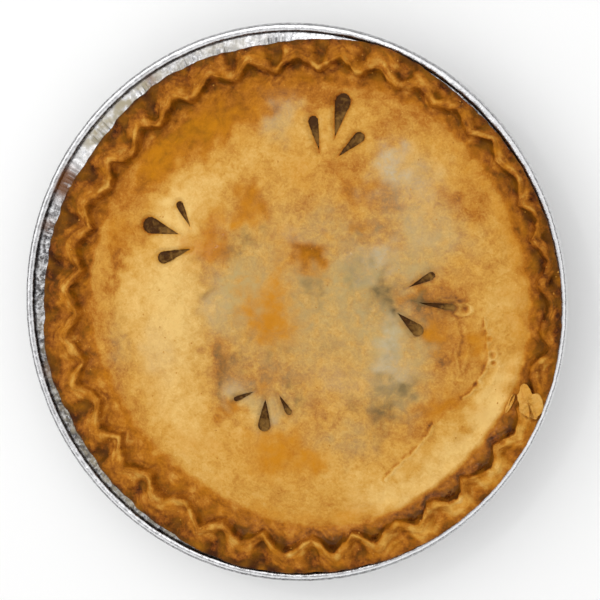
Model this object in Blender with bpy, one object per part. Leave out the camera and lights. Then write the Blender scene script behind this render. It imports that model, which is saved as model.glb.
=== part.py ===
"""Peach pie baked in a nine inch foil tin.

Metres, +Z up. The origin is under the middle of the tin's flat base, +X runs to the
right and +Y to the far side of the pie as it is usually looked down on.

Three solids: the foil tin, the pastry case with its fluted rim and slit lid, and the
peach filling that fills the case and shows at the bottom of the slits.
"""
import math
import random

import bpy
import bmesh

GAP = 0.0003                    # room kept between neighbouring solids
SHARP_EDGE = math.radians(40)   # a steeper fold than this is shaded as an edge

# Foil tin
RIM_RADIUS = 0.1225             # outermost edge of the rolled bead
BEAD_RADIUS = 0.0021
BEAD_HEIGHT = 0.0298            # height of the bead's centre
BEAD_POINTS = 8
FLANGE_RADIUS = 0.1095          # where the sloping wall turns out into the flange
FLANGE_HEIGHT = 0.0296          # upper face of the flange
BASE_RADIUS = 0.0860
FOIL = 0.0004                   # foil thickness
PLEATS = 72                     # folds round the wall
WALL_PLEAT = 0.0004             # how far a fold of the wall stands in or out
FLANGE_PLEAT = 0.0002           # how far a fold of the flange stands up or down

# Fluted rim of the pastry: circles (centre x, centre y, radius) seen from above.
# The pastry was laid a little off the tin's centre.
EDGE_CIRCLE = (0.0039, -0.0013, 0.1164)         # cut edge of the pastry
CREST_OUT_CIRCLE = (0.0078, -0.0008, 0.1084)    # crest where a flute is pushed out
CREST_IN_CIRCLE = (0.0088, -0.0002, 0.1021)     # crest where a flute is pinched in
MOAT_CIRCLE = (0.0083, 0.0012, 0.0987)          # foot of the lid, inside the rim
# Places where the cut edge or the crest runs out or draws back: angle, half width, distance
EDGE_LOBES = (
    (68, 12, 0.0026), (98, 11, -0.0013), (141, 9, -0.0016), (194, 9, 0.0017), (258, 13, 0.0011),
)
CREST_LOBES = ((36, 24, 0.0015), (130, 20, -0.0012), (202, 20, 0.0014), (303, 22, -0.0012))
FLUTES = 34
STEPS_PER_FLUTE = 6
FLUTE_START = 4.4               # degrees from +X to the first pinch
FLUTE_LEAN_SIN = -7.7           # the flutes crowd together on the +X side,
FLUTE_LEAN_COS = 1.2            # in degrees round the tin's centre
FLUTE_UNEVEN = 0.12             # random share by which a flute's reach differs
CREST_ROOM = 0.0014             # least room between the foot of the lid and the crest
CREST_EDGE_ROOM = 0.0034        # least room between the crest and the cut edge
CREST_INNER_LIP = 0.0004        # from the crest line in to the steep side
CREST_INNER_FOOT = 0.0026       # from the crest line in to the floor
RIDGE_WIDTH = 0.0030            # from the crest line out to where the ridge falls away
RIDGE_SHARE = 0.45              # most of the room to the cut edge that the ridge takes up
RIDGE_FALL = 0.0005
CREST_HEIGHT = 0.0373
CREST_UNEVEN = 0.0007
MOAT_HEIGHT = 0.0315
HOLLOW_RISE = 0.16              # slope of the floor between moat and ridge
HOLLOW_FOOT = 0.0054            # from the crest line out to the hollow behind a pinch
HOLLOW_HEIGHT = 0.0330
PILLOW_START, PILLOW_END = 0.05, 0.50   # share of a flute's reach over which its pillow rises
PILLOW_REACH = 0.0026           # how much further out the ridge falls away on a pillow
PILLOW_RISE = 0.0024            # how much higher a pillow is than a hollow
EDGE_DROP = 0.0002              # from hollow or pillow down to the cut edge's upper corner
EDGE_THICKNESS = 0.0013         # least thickness of the cut edge
EDGE_ROUND = 0.0007             # rounding of the cut edge

# Underside of the rim: flat on the flange, raised where it rides over the bead
UNDERSIDE_HEIGHT = FLANGE_HEIGHT + FLANGE_PLEAT + GAP + 0.0001
UNDERSIDE_LIFT = 0.0022
LIFT_START_RADIUS = 0.1140
LIFT_END_RADIUS = 0.1180

# Lid
LID_SHOULDER = 0.0055           # quick rise out of the moat
LID_SHOULDER_POWER = 9
LID_CROWN = 0.0028              # slow rise to the middle
LID_THICKNESS = 0.0033
LID_RINGS = (0.965, 0.92, 0.84, 0.72, 0.57, 0.40, 0.24, 0.10)   # shares of the moat's radius
FINE_LID_RINGS = 1              # rings with as many points as the fluted rim
COARSE_LID_RINGS = 2            # rings with a quarter of them; the others have half
# Fruit that pushes the lid up, and hollows between fruit: x, y, reach, height
LID_SWELLS = (
    (-0.004, -0.001, 0.012, 0.0009),
    (0.010, 0.022, 0.011, 0.0008),
    (-0.030, -0.024, 0.012, 0.0008),
    (-0.001, -0.067, 0.018, 0.0007),
    (0.066, -0.041, 0.014, 0.0008),
    (0.062, -0.014, 0.012, 0.0006),
    (0.035, 0.052, 0.014, 0.0007),
    (-0.040, 0.062, 0.020, 0.0006),
    (0.038, 0.012, 0.015, -0.0007),
    (0.049, -0.032, 0.012, -0.0006),
    (0.018, -0.022, 0.016, -0.0005),
    (-0.055, -0.010, 0.018, 0.0005),
)

# Pastry flake lying on the rim: x, y, half length, half width, turn, upper face
FLAKE = (0.1072, -0.0388, 0.0075, 0.0050, -68, 0.0381)

# Slits in the lid: wide end x, y, then tip x, y, then width at the wide end
SLITS = (
    (0.0139, 0.0797, 0.0170, 0.0661, 0.0049),
    (0.0265, 0.0879, 0.0234, 0.0720, 0.0074),
    (0.0340, 0.0724, 0.0248, 0.0641, 0.0049),
    (-0.0600, 0.0347, -0.0461, 0.0306, 0.0077),
    (-0.0461, 0.0435, -0.0408, 0.0332, 0.0038),
    (-0.0536, 0.0205, -0.0406, 0.0245, 0.0055),
    (0.0657, 0.0139, 0.0554, 0.0086, 0.0037),
    (0.0745, 0.0006, 0.0587, 0.0027, 0.0034),
    (0.0599, -0.0092, 0.0507, -0.0015, 0.0055),
    (-0.0203, -0.0411, -0.0112, -0.0373, 0.0022),
    (-0.0075, -0.0522, -0.0069, -0.0404, 0.0055),
    (0.0035, -0.0460, -0.0012, -0.0380, 0.0030),
)
SLIT_ARC_POINTS = 7             # points round a slit's wide end
SLIT_BOTTOM = 0.0295            # lower than the lid's underside at every slit
SLIT_TOP = 0.0450               # higher than the lid

# Space for the filling
FILLING_TOP_RADIUS = 0.1025
FILLING_TOP_HEIGHT = 0.0280
FILLING_BASE_RADIUS = 0.0825
FILLING_BASE_HEIGHT = 0.0038
FILLING_STEPS = 51
FILLING_RINGS = (0.965, 0.86, 0.70, 0.50, 0.27)             # shares of the upper radius


def clear_scene():
    for thing in list(bpy.data.objects):
        bpy.data.objects.remove(thing, do_unlink=True)


def make_material(name, colour, roughness, metallic=0.0):
    material = bpy.data.materials.new(name)
    material.use_nodes = True
    shader = material.node_tree.nodes["Principled BSDF"]
    shader.inputs["Base Color"].default_value = (*colour, 1.0)
    shader.inputs["Roughness"].default_value = roughness
    shader.inputs["Metallic"].default_value = metallic
    material.diffuse_color = (*colour, 1.0)
    return material


def make_object(name, mesh_builder, material=None):
    """Turn a closed bmesh into an object whose faces point outwards."""
    bmesh.ops.recalc_face_normals(mesh_builder, faces=mesh_builder.faces[:])
    bmesh.ops.triangulate(mesh_builder, faces=mesh_builder.faces[:])
    mesh = bpy.data.meshes.new(name)
    mesh_builder.to_mesh(mesh)
    mesh_builder.free()
    mesh.shade_smooth()
    mesh.set_sharp_from_angle(angle=SHARP_EDGE)
    thing = bpy.data.objects.new(name, mesh)
    bpy.context.scene.collection.objects.link(thing)
    if material:
        mesh.materials.append(material)
    return thing


def smoothstep(low, high, value):
    share = min(max((value - low) / (high - low), 0.0), 1.0)
    return share * share * (3.0 - 2.0 * share)


def add_ring(builder, points):
    return [builder.verts.new(point) for point in points]


def join_rings(builder, ring, other):
    """Fill the band between two rings. The second may have half the points of the first."""
    ratio = len(ring) // len(other)
    count = len(other)
    for i in range(count):
        here, after = other[i], other[(i + 1) % count]
        fine = [ring[(i * ratio + k) % len(ring)] for k in range(ratio + 1)]
        if ratio == 1:
            builder.faces.new((fine[0], fine[1], after, here))
        else:
            builder.faces.new((fine[0], fine[1], here))
            builder.faces.new((fine[1], after, here))
            builder.faces.new((fine[1], fine[2], after))


# ---------------------------------------------------------------- foil tin

def tin_profile():
    """Half section of the tin: radius, height, radial pleat, upright pleat."""
    slope = math.atan2(FLANGE_RADIUS - BASE_RADIUS, FLANGE_HEIGHT - FOIL)
    wall_across = FOIL / math.cos(slope)
    bead_centre = RIM_RADIUS - BEAD_RADIUS
    flange_under = FLANGE_HEIGHT - FOIL
    first = math.pi - math.asin((FLANGE_HEIGHT - BEAD_HEIGHT) / BEAD_RADIUS)
    last = -math.pi - math.asin((flange_under - BEAD_HEIGHT) / BEAD_RADIUS)
    profile = [
        (BASE_RADIUS, FOIL, 0.0, 0.0),
        (FLANGE_RADIUS, FLANGE_HEIGHT, WALL_PLEAT, FLANGE_PLEAT),
    ]
    for i in range(BEAD_POINTS):
        turn = first + (last - first) * i / (BEAD_POINTS - 1)
        radius = bead_centre + BEAD_RADIUS * math.cos(turn)
        height = BEAD_HEIGHT + BEAD_RADIUS * math.sin(turn)
        profile.append((radius, height, 0.0, 0.0))
    profile.append((FLANGE_RADIUS + wall_across, flange_under, WALL_PLEAT, FLANGE_PLEAT))
    profile.append((BASE_RADIUS + wall_across, 0.0, 0.0, 0.0))
    return profile


def build_tin():
    builder = bmesh.new()
    steps = 2 * PLEATS
    rings = []
    for radius, height, radial_pleat, upright_pleat in tin_profile():
        points = []
        for i in range(steps):
            side = 1 if i % 2 else -1
            angle = 2 * math.pi * i / steps
            reach = radius + side * radial_pleat
            points.append((reach * math.cos(angle), reach * math.sin(angle), height + side * upright_pleat))
        rings.append(add_ring(builder, points))
    for ring, other in zip(rings, rings[1:]):
        join_rings(builder, ring, other)
    builder.faces.new(rings[0])
    builder.faces.new(rings[-1])
    foil = make_material("foil", (0.72, 0.72, 0.73), 0.32, 1.0)
    return make_object("foil_tin", builder, foil)


# ---------------------------------------------------------------- pastry

def circle_reach(circle, angle):
    """Distance from the origin to an off-centre circle, along a direction."""
    x, y, radius = circle
    along = x * math.cos(angle) + y * math.sin(angle)
    across = y * math.cos(angle) - x * math.sin(angle)
    return along + math.sqrt(radius * radius - across * across)


def lobes_at(lobes, angle):
    """How far a line of the rim runs out beyond its circle."""
    distance = 0.0
    for middle, half_width, reach in lobes:
        away = (math.degrees(angle) - middle + 180.0) % 360.0 - 180.0
        distance += reach * math.exp(-(away / half_width) ** 2)
    return distance


def crest_reach(angle, share, moat, edge):
    inner = circle_reach(CREST_IN_CIRCLE, angle)
    outer = circle_reach(CREST_OUT_CIRCLE, angle)
    crest = inner + (outer - inner) * share + lobes_at(CREST_LOBES, angle)
    return min(max(crest, moat + CREST_ROOM), edge - CREST_EDGE_ROOM)


def lid_height(x, y):
    centre_x, centre_y, radius = MOAT_CIRCLE
    share = min(math.hypot(x - centre_x, y - centre_y) / radius, 1.0)
    height = MOAT_HEIGHT + LID_SHOULDER * (1.0 - share ** LID_SHOULDER_POWER)
    height += LID_CROWN * (1.0 - share * share)
    for swell_x, swell_y, reach, rise in LID_SWELLS:
        height += rise * math.exp(-((x - swell_x) ** 2 + (y - swell_y) ** 2) / reach ** 2)
    return height


def underside_height(radius):
    return UNDERSIDE_HEIGHT + UNDERSIDE_LIFT * smoothstep(LIFT_START_RADIUS, LIFT_END_RADIUS, radius)


def on_flake(x, y):
    flake_x, flake_y, half_length, half_width, turn, _ = FLAKE
    angle = math.radians(turn)
    along = (x - flake_x) * math.cos(angle) + (y - flake_y) * math.sin(angle)
    across = (y - flake_y) * math.cos(angle) - (x - flake_x) * math.sin(angle)
    return (along / half_length) ** 2 + (across / half_width) ** 2 < 1.0


def flute_angles():
    """Directions of the rim's points, crowded on the +X side as the flutes are."""
    steps = FLUTES * STEPS_PER_FLUTE
    angles = []
    for i in range(steps):
        turn = 2 * math.pi * i / steps
        lean = FLUTE_LEAN_SIN * math.sin(turn) + FLUTE_LEAN_COS * math.cos(turn)
        angles.append(turn + math.radians(FLUTE_START + lean))
    return angles


def flute_shares():
    """Where the crest runs between its inner (0) and outer (1) circle, point by point."""
    draw = random.Random(34)
    half = STEPS_PER_FLUTE // 2
    turns = [draw.uniform(-FLUTE_UNEVEN, FLUTE_UNEVEN) for _ in range(2 * FLUTES)]
    shares = []
    for i in range(FLUTES * STEPS_PER_FLUTE):
        turn, step = divmod(i, half)
        start = turn % 2 + turns[turn]
        end = (turn + 1) % 2 + turns[(turn + 1) % len(turns)]
        shares.append(start + (end - start) * step / half)
    return shares


def crest_heights():
    draw = random.Random(12)
    return [CREST_HEIGHT + draw.uniform(-CREST_UNEVEN, CREST_UNEVEN)
            for _ in range(FLUTES * STEPS_PER_FLUTE)]


def rim_section(angle, share, crest_height):
    """Section of the rim along one direction, from the moat out and round the cut edge."""
    moat = circle_reach(MOAT_CIRCLE, angle)
    edge = circle_reach(EDGE_CIRCLE, angle) + lobes_at(EDGE_LOBES, angle)
    crest = crest_reach(angle, share, moat, edge)
    foot = max(crest - CREST_INNER_FOOT, moat + GAP)
    ridge = crest + min(RIDGE_WIDTH, RIDGE_SHARE * (edge - crest))
    pillow = smoothstep(PILLOW_START, PILLOW_END, share)
    shelf = min(crest + HOLLOW_FOOT + PILLOW_REACH * pillow, edge - 2 * EDGE_ROUND)
    shelf_height = HOLLOW_HEIGHT + PILLOW_RISE * pillow
    under = underside_height(edge)
    corner_height = max(shelf_height - EDGE_DROP, under + EDGE_THICKNESS)
    return [
        (moat, MOAT_HEIGHT),
        (foot, MOAT_HEIGHT + HOLLOW_RISE * (foot - moat)),
        (crest - CREST_INNER_LIP, crest_height),
        (ridge, crest_height - RIDGE_FALL),
        (shelf, max(shelf_height, underside_height(shelf) + EDGE_THICKNESS)),
        (edge - EDGE_ROUND, corner_height),
        (edge, (corner_height + under) / 2),
        (edge - EDGE_ROUND, under),
    ]


def build_pastry_block():
    """The whole pastry without its hollow and slits."""
    builder = bmesh.new()
    angles = flute_angles()
    sections = [rim_section(*values) for values in zip(angles, flute_shares(), crest_heights())]

    rings = []
    for index in range(len(sections[0])):
        points = []
        for angle, section in zip(angles, sections):
            radius, height = section[index]
            x, y = radius * math.cos(angle), radius * math.sin(angle)
            if index < len(section) - 2 and on_flake(x, y):
                height = max(height, FLAKE[-1])
            points.append((x, y, height))
        rings.append(add_ring(builder, points))
    for ring, other in zip(rings, rings[1:]):
        join_rings(builder, ring, other)

    outer = rings[0]
    for number, share in enumerate(LID_RINGS):
        thinning = 2
        if number < FINE_LID_RINGS:
            thinning = 1
        elif number >= len(LID_RINGS) - COARSE_LID_RINGS:
            thinning = 4
        points = []
        for angle in angles[::thinning]:
            radius = share * circle_reach(MOAT_CIRCLE, angle)
            x, y = radius * math.cos(angle), radius * math.sin(angle)
            points.append((x, y, lid_height(x, y)))
        inner = add_ring(builder, points)
        join_rings(builder, outer, inner)
        outer = inner
    builder.faces.new(outer)

    wall_clearance = WALL_PLEAT + 1.5 * GAP
    below = rings[-1]
    for radius, height in (
        (FLANGE_RADIUS - wall_clearance, UNDERSIDE_HEIGHT),
        (BASE_RADIUS - wall_clearance, FOIL + GAP),
    ):
        points = [(radius * math.cos(a), radius * math.sin(a), height) for a in angles[::2]]
        inner = add_ring(builder, points)
        join_rings(builder, below, inner)
        below = inner
    builder.faces.new(below)
    return builder


def build_filling_block(shrink):
    """The filling's form, drawn in by a distance on every side."""
    builder = bmesh.new()
    angles = [2 * math.pi * i / FILLING_STEPS for i in range(FILLING_STEPS)]
    top_radius = FILLING_TOP_RADIUS - 1.5 * shrink

    def around(radius, height=None):
        points = []
        for angle in angles:
            x, y = radius * math.cos(angle), radius * math.sin(angle)
            ceiling = lid_height(x, y) - LID_THICKNESS - shrink
            points.append((x, y, ceiling if height is None else height))
        return add_ring(builder, points)

    rings = [around(share * top_radius) for share in reversed(FILLING_RINGS)]
    rings.append(around(top_radius, FILLING_TOP_HEIGHT - shrink))
    rings.append(around(FILLING_BASE_RADIUS - 1.5 * shrink, FILLING_BASE_HEIGHT + shrink))
    for ring, other in zip(rings, rings[1:]):
        join_rings(builder, ring, other)
    builder.faces.new(rings[0])
    builder.faces.new(rings[-1])
    return builder


def slit_outline(wide_x, wide_y, tip_x, tip_y, width):
    """Teardrop: a round wide end that narrows in straight sides to a point."""
    length = math.hypot(wide_x - tip_x, wide_y - tip_y)
    heading = math.atan2(wide_y - tip_y, wide_x - tip_x)
    radius = width / 2
    spread = math.pi - math.acos(radius / length)
    outline = [(tip_x, tip_y)]
    for i in range(SLIT_ARC_POINTS):
        turn = heading - spread + 2 * spread * i / (SLIT_ARC_POINTS - 1)
        outline.append((wide_x + radius * math.cos(turn), wide_y + radius * math.sin(turn)))
    return outline


def build_slit_cutters():
    builder = bmesh.new()
    for slit in SLITS:
        outline = slit_outline(*slit)
        lower = [builder.verts.new((x, y, SLIT_BOTTOM)) for x, y in outline]
        face = builder.faces.new(lower)
        raised = bmesh.ops.extrude_face_region(builder, geom=[face])
        moved = [part for part in raised["geom"] if isinstance(part, bmesh.types.BMVert)]
        bmesh.ops.translate(builder, verts=moved, vec=(0.0, 0.0, SLIT_TOP - SLIT_BOTTOM))
    return builder


def cut(thing, name, builder):
    """Take a closed form away from an object."""
    cutter = make_object(name, builder)
    cutter.hide_render = True
    cutter.display_type = 'WIRE'
    modifier = thing.modifiers.new(name, 'BOOLEAN')
    modifier.operation = 'DIFFERENCE'
    modifier.solver = 'EXACT'
    modifier.object = cutter


def build_crust():
    pastry = make_material("baked_pastry", (0.58, 0.31, 0.08), 0.55)
    crust = make_object("pie_crust", build_pastry_block(), pastry)
    cut(crust, "filling_space", build_filling_block(0.0))
    cut(crust, "slit_cutters", build_slit_cutters())
    return crust


def build_filling():
    fruit = make_material("peach_filling", (0.45, 0.19, 0.03), 0.25)
    return make_object("peach_filling", build_filling_block(GAP), fruit)


def main():
    clear_scene()
    build_tin()
    build_crust()
    build_filling()


main()
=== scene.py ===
"""Peach pie in its foil tin: the modelled and finished looks, laid out as an add-on.

Metres, +Z up. The origin is under the middle of the tin's base, +X runs to the right and
+Y to the far side of the pie as it is looked down on.
"""

import math
import random

import bmesh
import bpy
from bpy.props import FloatProperty, FloatVectorProperty, IntProperty, PointerProperty
from mathutils import Matrix, Vector, noise
from mathutils.bvhtree import BVHTree


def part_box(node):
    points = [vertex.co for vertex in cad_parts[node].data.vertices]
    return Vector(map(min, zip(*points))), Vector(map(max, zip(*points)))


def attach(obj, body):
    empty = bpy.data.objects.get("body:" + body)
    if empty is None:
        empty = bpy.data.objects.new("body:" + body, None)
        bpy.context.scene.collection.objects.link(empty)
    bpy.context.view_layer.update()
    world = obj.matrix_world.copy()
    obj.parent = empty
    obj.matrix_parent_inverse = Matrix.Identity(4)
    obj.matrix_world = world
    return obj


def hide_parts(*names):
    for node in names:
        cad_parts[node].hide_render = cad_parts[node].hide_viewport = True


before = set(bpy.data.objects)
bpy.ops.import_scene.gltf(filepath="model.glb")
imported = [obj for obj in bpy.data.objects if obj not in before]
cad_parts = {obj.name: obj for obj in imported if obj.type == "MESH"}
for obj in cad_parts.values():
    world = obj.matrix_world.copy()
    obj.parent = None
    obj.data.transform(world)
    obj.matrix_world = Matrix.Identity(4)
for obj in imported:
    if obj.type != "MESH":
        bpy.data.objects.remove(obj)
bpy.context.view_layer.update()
_, TIN_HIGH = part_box("foil_tin")

bl_info = {
    "name": "Peach Pie in a Foil Tin",
    "version": (1, 0, 0),
    "blender": (4, 5, 0),
    "location": "3D View > Sidebar > Peach Pie",
    "description": "Models and finishes a baked fruit pie that stands in its foil tin",
    "category": "Mesh",
}

MM = 0.001
FULL_TURN = 2 * math.pi

# ------------------------------------------------------------ forms shared with the solids

GAP = 0.3 * MM                      # room between the pastry and what touches it

# Foil tin
FLANGE_RADIUS = 109.5 * MM          # where the sloping wall turns out into the flange
FLANGE_HEIGHT = 29.6 * MM
BASE_RADIUS = 86.0 * MM
FOIL = 0.4 * MM                     # foil thickness
WALL_PLEAT = 0.4 * MM               # how far a fold of the wall stands in or out
WALL_STEPS, FLANGE_STEPS, ROLL_STEPS = 10, 8, 16
BASE_INNER_RING = 30 * MM           # one face closes the base inside it
BASE_FLAT_END = 85.2 * MM
BASE_RIBS = (56 * MM, 80 * MM)
RIB_HALF_WIDTH, RIB_HEIGHT = 2 * MM, 0.5 * MM
FOLD_SEED = 7

# Circles seen from above: centre x, centre y, radius
EDGE_CIRCLE = (3.9 * MM, -1.3 * MM, 116.4 * MM)       # cut edge of the pastry
CREST_OUT_CIRCLE = (7.8 * MM, -0.8 * MM, 108.4 * MM)  # crest where a flute is pushed out
CREST_IN_CIRCLE = (8.8 * MM, -0.2 * MM, 102.1 * MM)   # crest where a flute is pinched in
MOAT_CIRCLE = (8.3 * MM, 1.2 * MM, 98.7 * MM)         # foot of the lid, inside the rim
# Places where the cut edge or the crest runs out or draws back: angle, half width, distance in mm
EDGE_LOBES = ((68, 12, 2.6), (98, 11, -1.3), (141, 9, -1.6), (194, 9, 1.7), (258, 13, 1.1))
CREST_LOBES = ((36, 24, 1.5), (130, 20, -1.2), (202, 20, 1.4), (303, 22, -1.2))
# Layers of smooth noise that make them ragged: height and size in mm, then a seed
EDGE_RAGS = ((0.45, 5, 3), (0.2, 1.9, 5))
CREST_RAGS = ((1.3, 6, 11), (0.7, 2.4, 13))
CREST_ROOM = 1.4 * MM               # least room between the foot of the lid and the crest
CREST_EDGE_ROOM = 3.4 * MM          # least room between the crest and the cut edge
FLUTES = 34
FLUTE_SEED = 34
FLUTE_START = 4.4                   # degrees from +X to the first pinch
FLUTE_LEAN_SIN = -7.7               # the flutes crowd together on the +X side,
FLUTE_LEAN_COS = 1.2                # in degrees round the tin's centre
FLUTE_WANDER = 0.26                 # share of a flute by which a pinch strays along the rim
FLUTE_ROUNDING = 0.06               # share of a flute over which its corners are rounded
CREST_INNER_FOOT = 2.6 * MM         # from the crest line in to the floor
RIDGE_WIDTH = 3.0 * MM              # from the crest line out to where the ridge falls away
RIDGE_SHARE = 0.45                  # most of the room to the cut edge that the ridge takes up
RIDGE_FALL = 0.5 * MM
MOAT_HEIGHT = 31.5 * MM
HOLLOW_RISE = 0.16                  # slope of the floor between moat and ridge
PINCH_RISE = 1.3 * MM               # how much higher the lid's foot is against a pinch
PINCH_REACH = 7.0 * MM
HOLLOW_FOOT = 5.4 * MM              # from the crest line out to the hollow behind a pinch
HOLLOW_HEIGHT = 33.0 * MM
PILLOW_START, PILLOW_END = 0.05, 0.50   # share of a flute's reach over which its pillow rises
PILLOW_REACH = 2.6 * MM             # how much further out the ridge falls away on a pillow
PILLOW_RISE = 2.4 * MM              # how much higher a pillow is than a hollow
EDGE_DROP = 0.2 * MM                # from hollow or pillow down to the cut edge
EDGE_ROUND = 0.7 * MM
UNDERSIDE_HEIGHT = 30.2 * MM        # flat on the flange, raised where it rides over the bead
UNDERSIDE_LIFT = 2.2 * MM
LIFT_START_RADIUS = 114.0 * MM
LIFT_END_RADIUS = 118.0 * MM

# Lid
LID_REACH = MOAT_CIRCLE[2]
LID_SHOULDER = 5.5 * MM             # quick rise out of the moat
LID_SHOULDER_POWER = 9
LID_CROWN = 2.8 * MM                # slow rise to the middle
LID_THICKNESS = 3.3 * MM
# Layers of the lid's soft unevenness: share of its relief, size in mm, seed
LID_WAVES = ((0.8, 17, 41), (0.6, 7, 43), (0.4, 3.2, 47))
# Fruit that pushes the lid up, and hollows between fruit: x, y, reach, height in mm
LID_SWELLS = (
    (-4, -1, 12, 0.9), (10, 22, 11, 0.8), (-30, -24, 12, 0.8), (-1, -67, 18, 0.7), (66, -41, 14, 0.8),
    (62, -14, 12, 0.6), (35, 52, 14, 0.7), (-40, 62, 20, 0.6), (38, 12, 15, -0.7), (49, -32, 12, -0.6),
    (18, -22, 16, -0.5), (-55, -10, 18, 0.5),
)
# Slits in four groups: wide end x, y, then tip x, y, then width at the wide end, in mm,
# and how far below the lid the juice stands in each
SLITS = (
    (13.9, 79.7, 17.0, 66.1, 4.9, 1.9), (26.5, 87.9, 23.4, 72.0, 7.4, 2.1),
    (34.0, 72.4, 24.8, 64.1, 4.9, 1.7),
    (-60.0, 34.7, -46.1, 30.6, 7.7, 2.0), (-46.1, 43.5, -40.8, 33.2, 3.8, 1.8),
    (-53.6, 20.5, -40.6, 24.5, 5.5, 1.3),
    (65.7, 13.9, 55.4, 8.6, 3.7, 1.9), (74.5, 0.6, 58.7, 2.7, 3.4, 1.8),
    (59.9, -9.2, 50.7, -1.5, 5.5, 2.1),
    (-20.3, -41.1, -11.2, -37.3, 2.2, 1.4), (-7.5, -52.2, -6.9, -40.4, 5.5, 1.1),
    (3.5, -46.0, -1.2, -38.0, 3.0, 1.6),
)
SLIT_MIDDLE = 0.35                  # share of the way to the tip, from where all of a slit is seen
SLIT_FOOT = 29.5 * MM               # heights between which the slits are cut
SLIT_TOP = 45 * MM
SLIT_FOOT_DRAW_IN = 0.35 * MM       # how much narrower a slit is at its foot
SLIT_TOP_SPREAD = 0.15 * MM         # how much wider at its top
SLIT_POINTS = 32
LIP_WIDTH = 0.7 * MM                # how far from a slit's outline its lip is rounded
DETAIL_REACH = 3.2 * MM             # how far round slits, creases and pits the lid has fine points
POOL_RINGS, POOL_POINTS = 7, 40

# Loose bits: centre, half length, half width, turn in degrees and thickness
FLAKE = ((107.2 * MM, -38.8 * MM), 7.6 * MM, 5.0 * MM, -68, 1.2 * MM)
SLIVER = ((98.8 * MM, -39.7 * MM), 4.4 * MM, 1.1 * MM, 68, 0.8 * MM)
# Their torn outlines: direction in degrees from the lower end, half width, change
FLAKE_LOBES = (
    (78, 30, 0.16), (128, 15, -0.30), (168, 16, 0.10), (-100, 40, -0.16), (-150, 12, -0.12),
    (22, 16, -0.12), (-30, 14, -0.10),
)
SLIVER_LOBES = ((90, 40, -0.2), (-70, 30, 0.2))
FLAKE_SEED, SLIVER_SEED = 4.0, 9.0
FLAKE_RINGS, FLAKE_POINTS = 16, 64
CRUMB_SEED = 19
CRUMBS_ON_RIM = 0.45                # share of the crumbs that lie on the rim
RIM_CRUMBS = (101 * MM, 113 * MM)   # how far out from the lid's middle they lie
LID_CRUMBS = 99 * MM

# ------------------------------------------------------------ how the pie browned

LID_BAKED, RIM_BAKED = 0.425, 0.72  # how baked lid and rim are apart from the marks below
# How far the spots on the lid stray: distance and size of the noise in mm, then a seed
STRAY_X = ((5.5, 13, 51), (5.0, 4.5, 53))
STRAY_Y = ((5.5, 13, 57), (5.0, 4.5, 59))

# Soft spots on the lid, in mm: x, y, reach along, reach across, turn in degrees, strength
BROWNED = (
    (-34, 81, 30, 10, 28, 0.36), (-58, 62, 15, 9, 47, 0.28), (6, 92, 34, 6, -3, 0.20),
    (-22, 77, 14, 7, 18, 0.20), (-62, 46, 10, 8, 60, 0.14), (38, 90, 14, 6, -22, 0.14),
    (-13, 46, 6, 8, 10, 0.34), (2, 45, 9, 5, -10, 0.16), (35, 51, 12, 6, -35, 0.20),
    (51, 45, 7, 5, 0, 0.24), (32, 36, 5, 4, 0, 0.20), (13.0, 22.4, 7, 7, 10, 0.50),
    (-7, -9, 6, 7, 15, 0.26), (-27, -23, 4.5, 8, 20, 0.34), (-24, -48, 6, 3, 0, 0.24),
    (68, -11, 6, 7, 0, 0.20), (85, -14, 5, 6, 0, 0.20), (61, 6, 9, 4, 0, 0.24),
    (72, -43, 11, 6, 10, 0.26), (-77, -32, 6, 22, 8, 0.18), (-77, 22, 6, 16, -8, 0.20),
    (-90, -2, 5, 16, 0, 0.20), (105, 4, 5, 34, 0, 0.12), (-77, 47, 8, 9, 0, 0.12),
    (46, 92, 10, 5, -35, 0.10), (86, 66, 8, 16, 38, 0.10), (-62, -66, 8, 14, 40, 0.06),
    (48, -91, 14, 4, 20, 0.16), (-10, -34, 16, 6, 5, 0.14), (-19, -93, 18, 5, -12, 0.08),
    (-31, 15, 6, 7, 0, 0.14), (0, -66, 14, 9, 0, 0.10), (15, 44, 6, 8, 0, 0.10),
    (7.5, 95.7, 1.6, 1.2, 0, 0.3), (71.5, -19, 4, 0.9, 0, 0.3), (75, 2, 8, 8, 0, 0.16),
    (83, 14, 6, 12, 0, 0.06), (-31, 26, 7, 5, 20, 0.36), (58, 80, 10, 6, -40, 0.12),
    (61, 0, 10, 9, 0, 0.20), (62, -14, 9, 8, 0, 0.14), (76, -17, 9, 10, 0, 0.14),
    (60, -45, 8, 6, 0, 0.16), (-29, -32, 6, 9, 0, 0.16), (-60, 31, 9, 9, 0, 0.22),
    (-43, 75, 10, 8, 0, 0.14), (45, 75, 9, 7, 0, 0.10), (31, 61, 9, 6, 0, 0.14),
    (88, -30, 6, 9, 0, 0.12), (10, 0, 55, 40, 0, 0.05), (60.5, 2.6, 3, 0.8, -8, 0.35),
    (-8, -30, 18, 6, 0, 0.18), (60, -1, 7, 6, 0, 0.10), (-30, 31, 6, 5, 0, 0.10),
    (-30, 61, 10, 7, 0, 0.08), (45, 31, 8, 7, 0, 0.16), (-30, -45, 6, 7, 0, 0.16),
    (15, 91, 8, 6, 0, 0.12), (45, 2, 7, 8, 0, 0.12), (76, 45, 9, 8, 0, 0.12), (75, -30, 7, 7, 0, 0.10),
    (15, -46, 7, 6, 0, 0.12), (30, 31, 7, 7, 0, 0.12), (30, 14, 7, 7, 0, 0.10),
    (45, -46, 8, 7, 0, 0.16), (-75, 14, 6, 8, 0, 0.10), (-60, 60, 9, 6, 40, 0.10),
    (-30, 89, 12, 5, 20, 0.10), (88, 47, 7, 8, 0, 0.10), (30, -60, 9, 6, 0, 0.10),
    (45, 30, 6, 6, 0, 0.10), (76, 45, 7, 7, 0, 0.08), (-45, 75, 9, 7, 30, 0.10),
    (60, 15, 8, 6, 0, 0.08),
)
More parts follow.
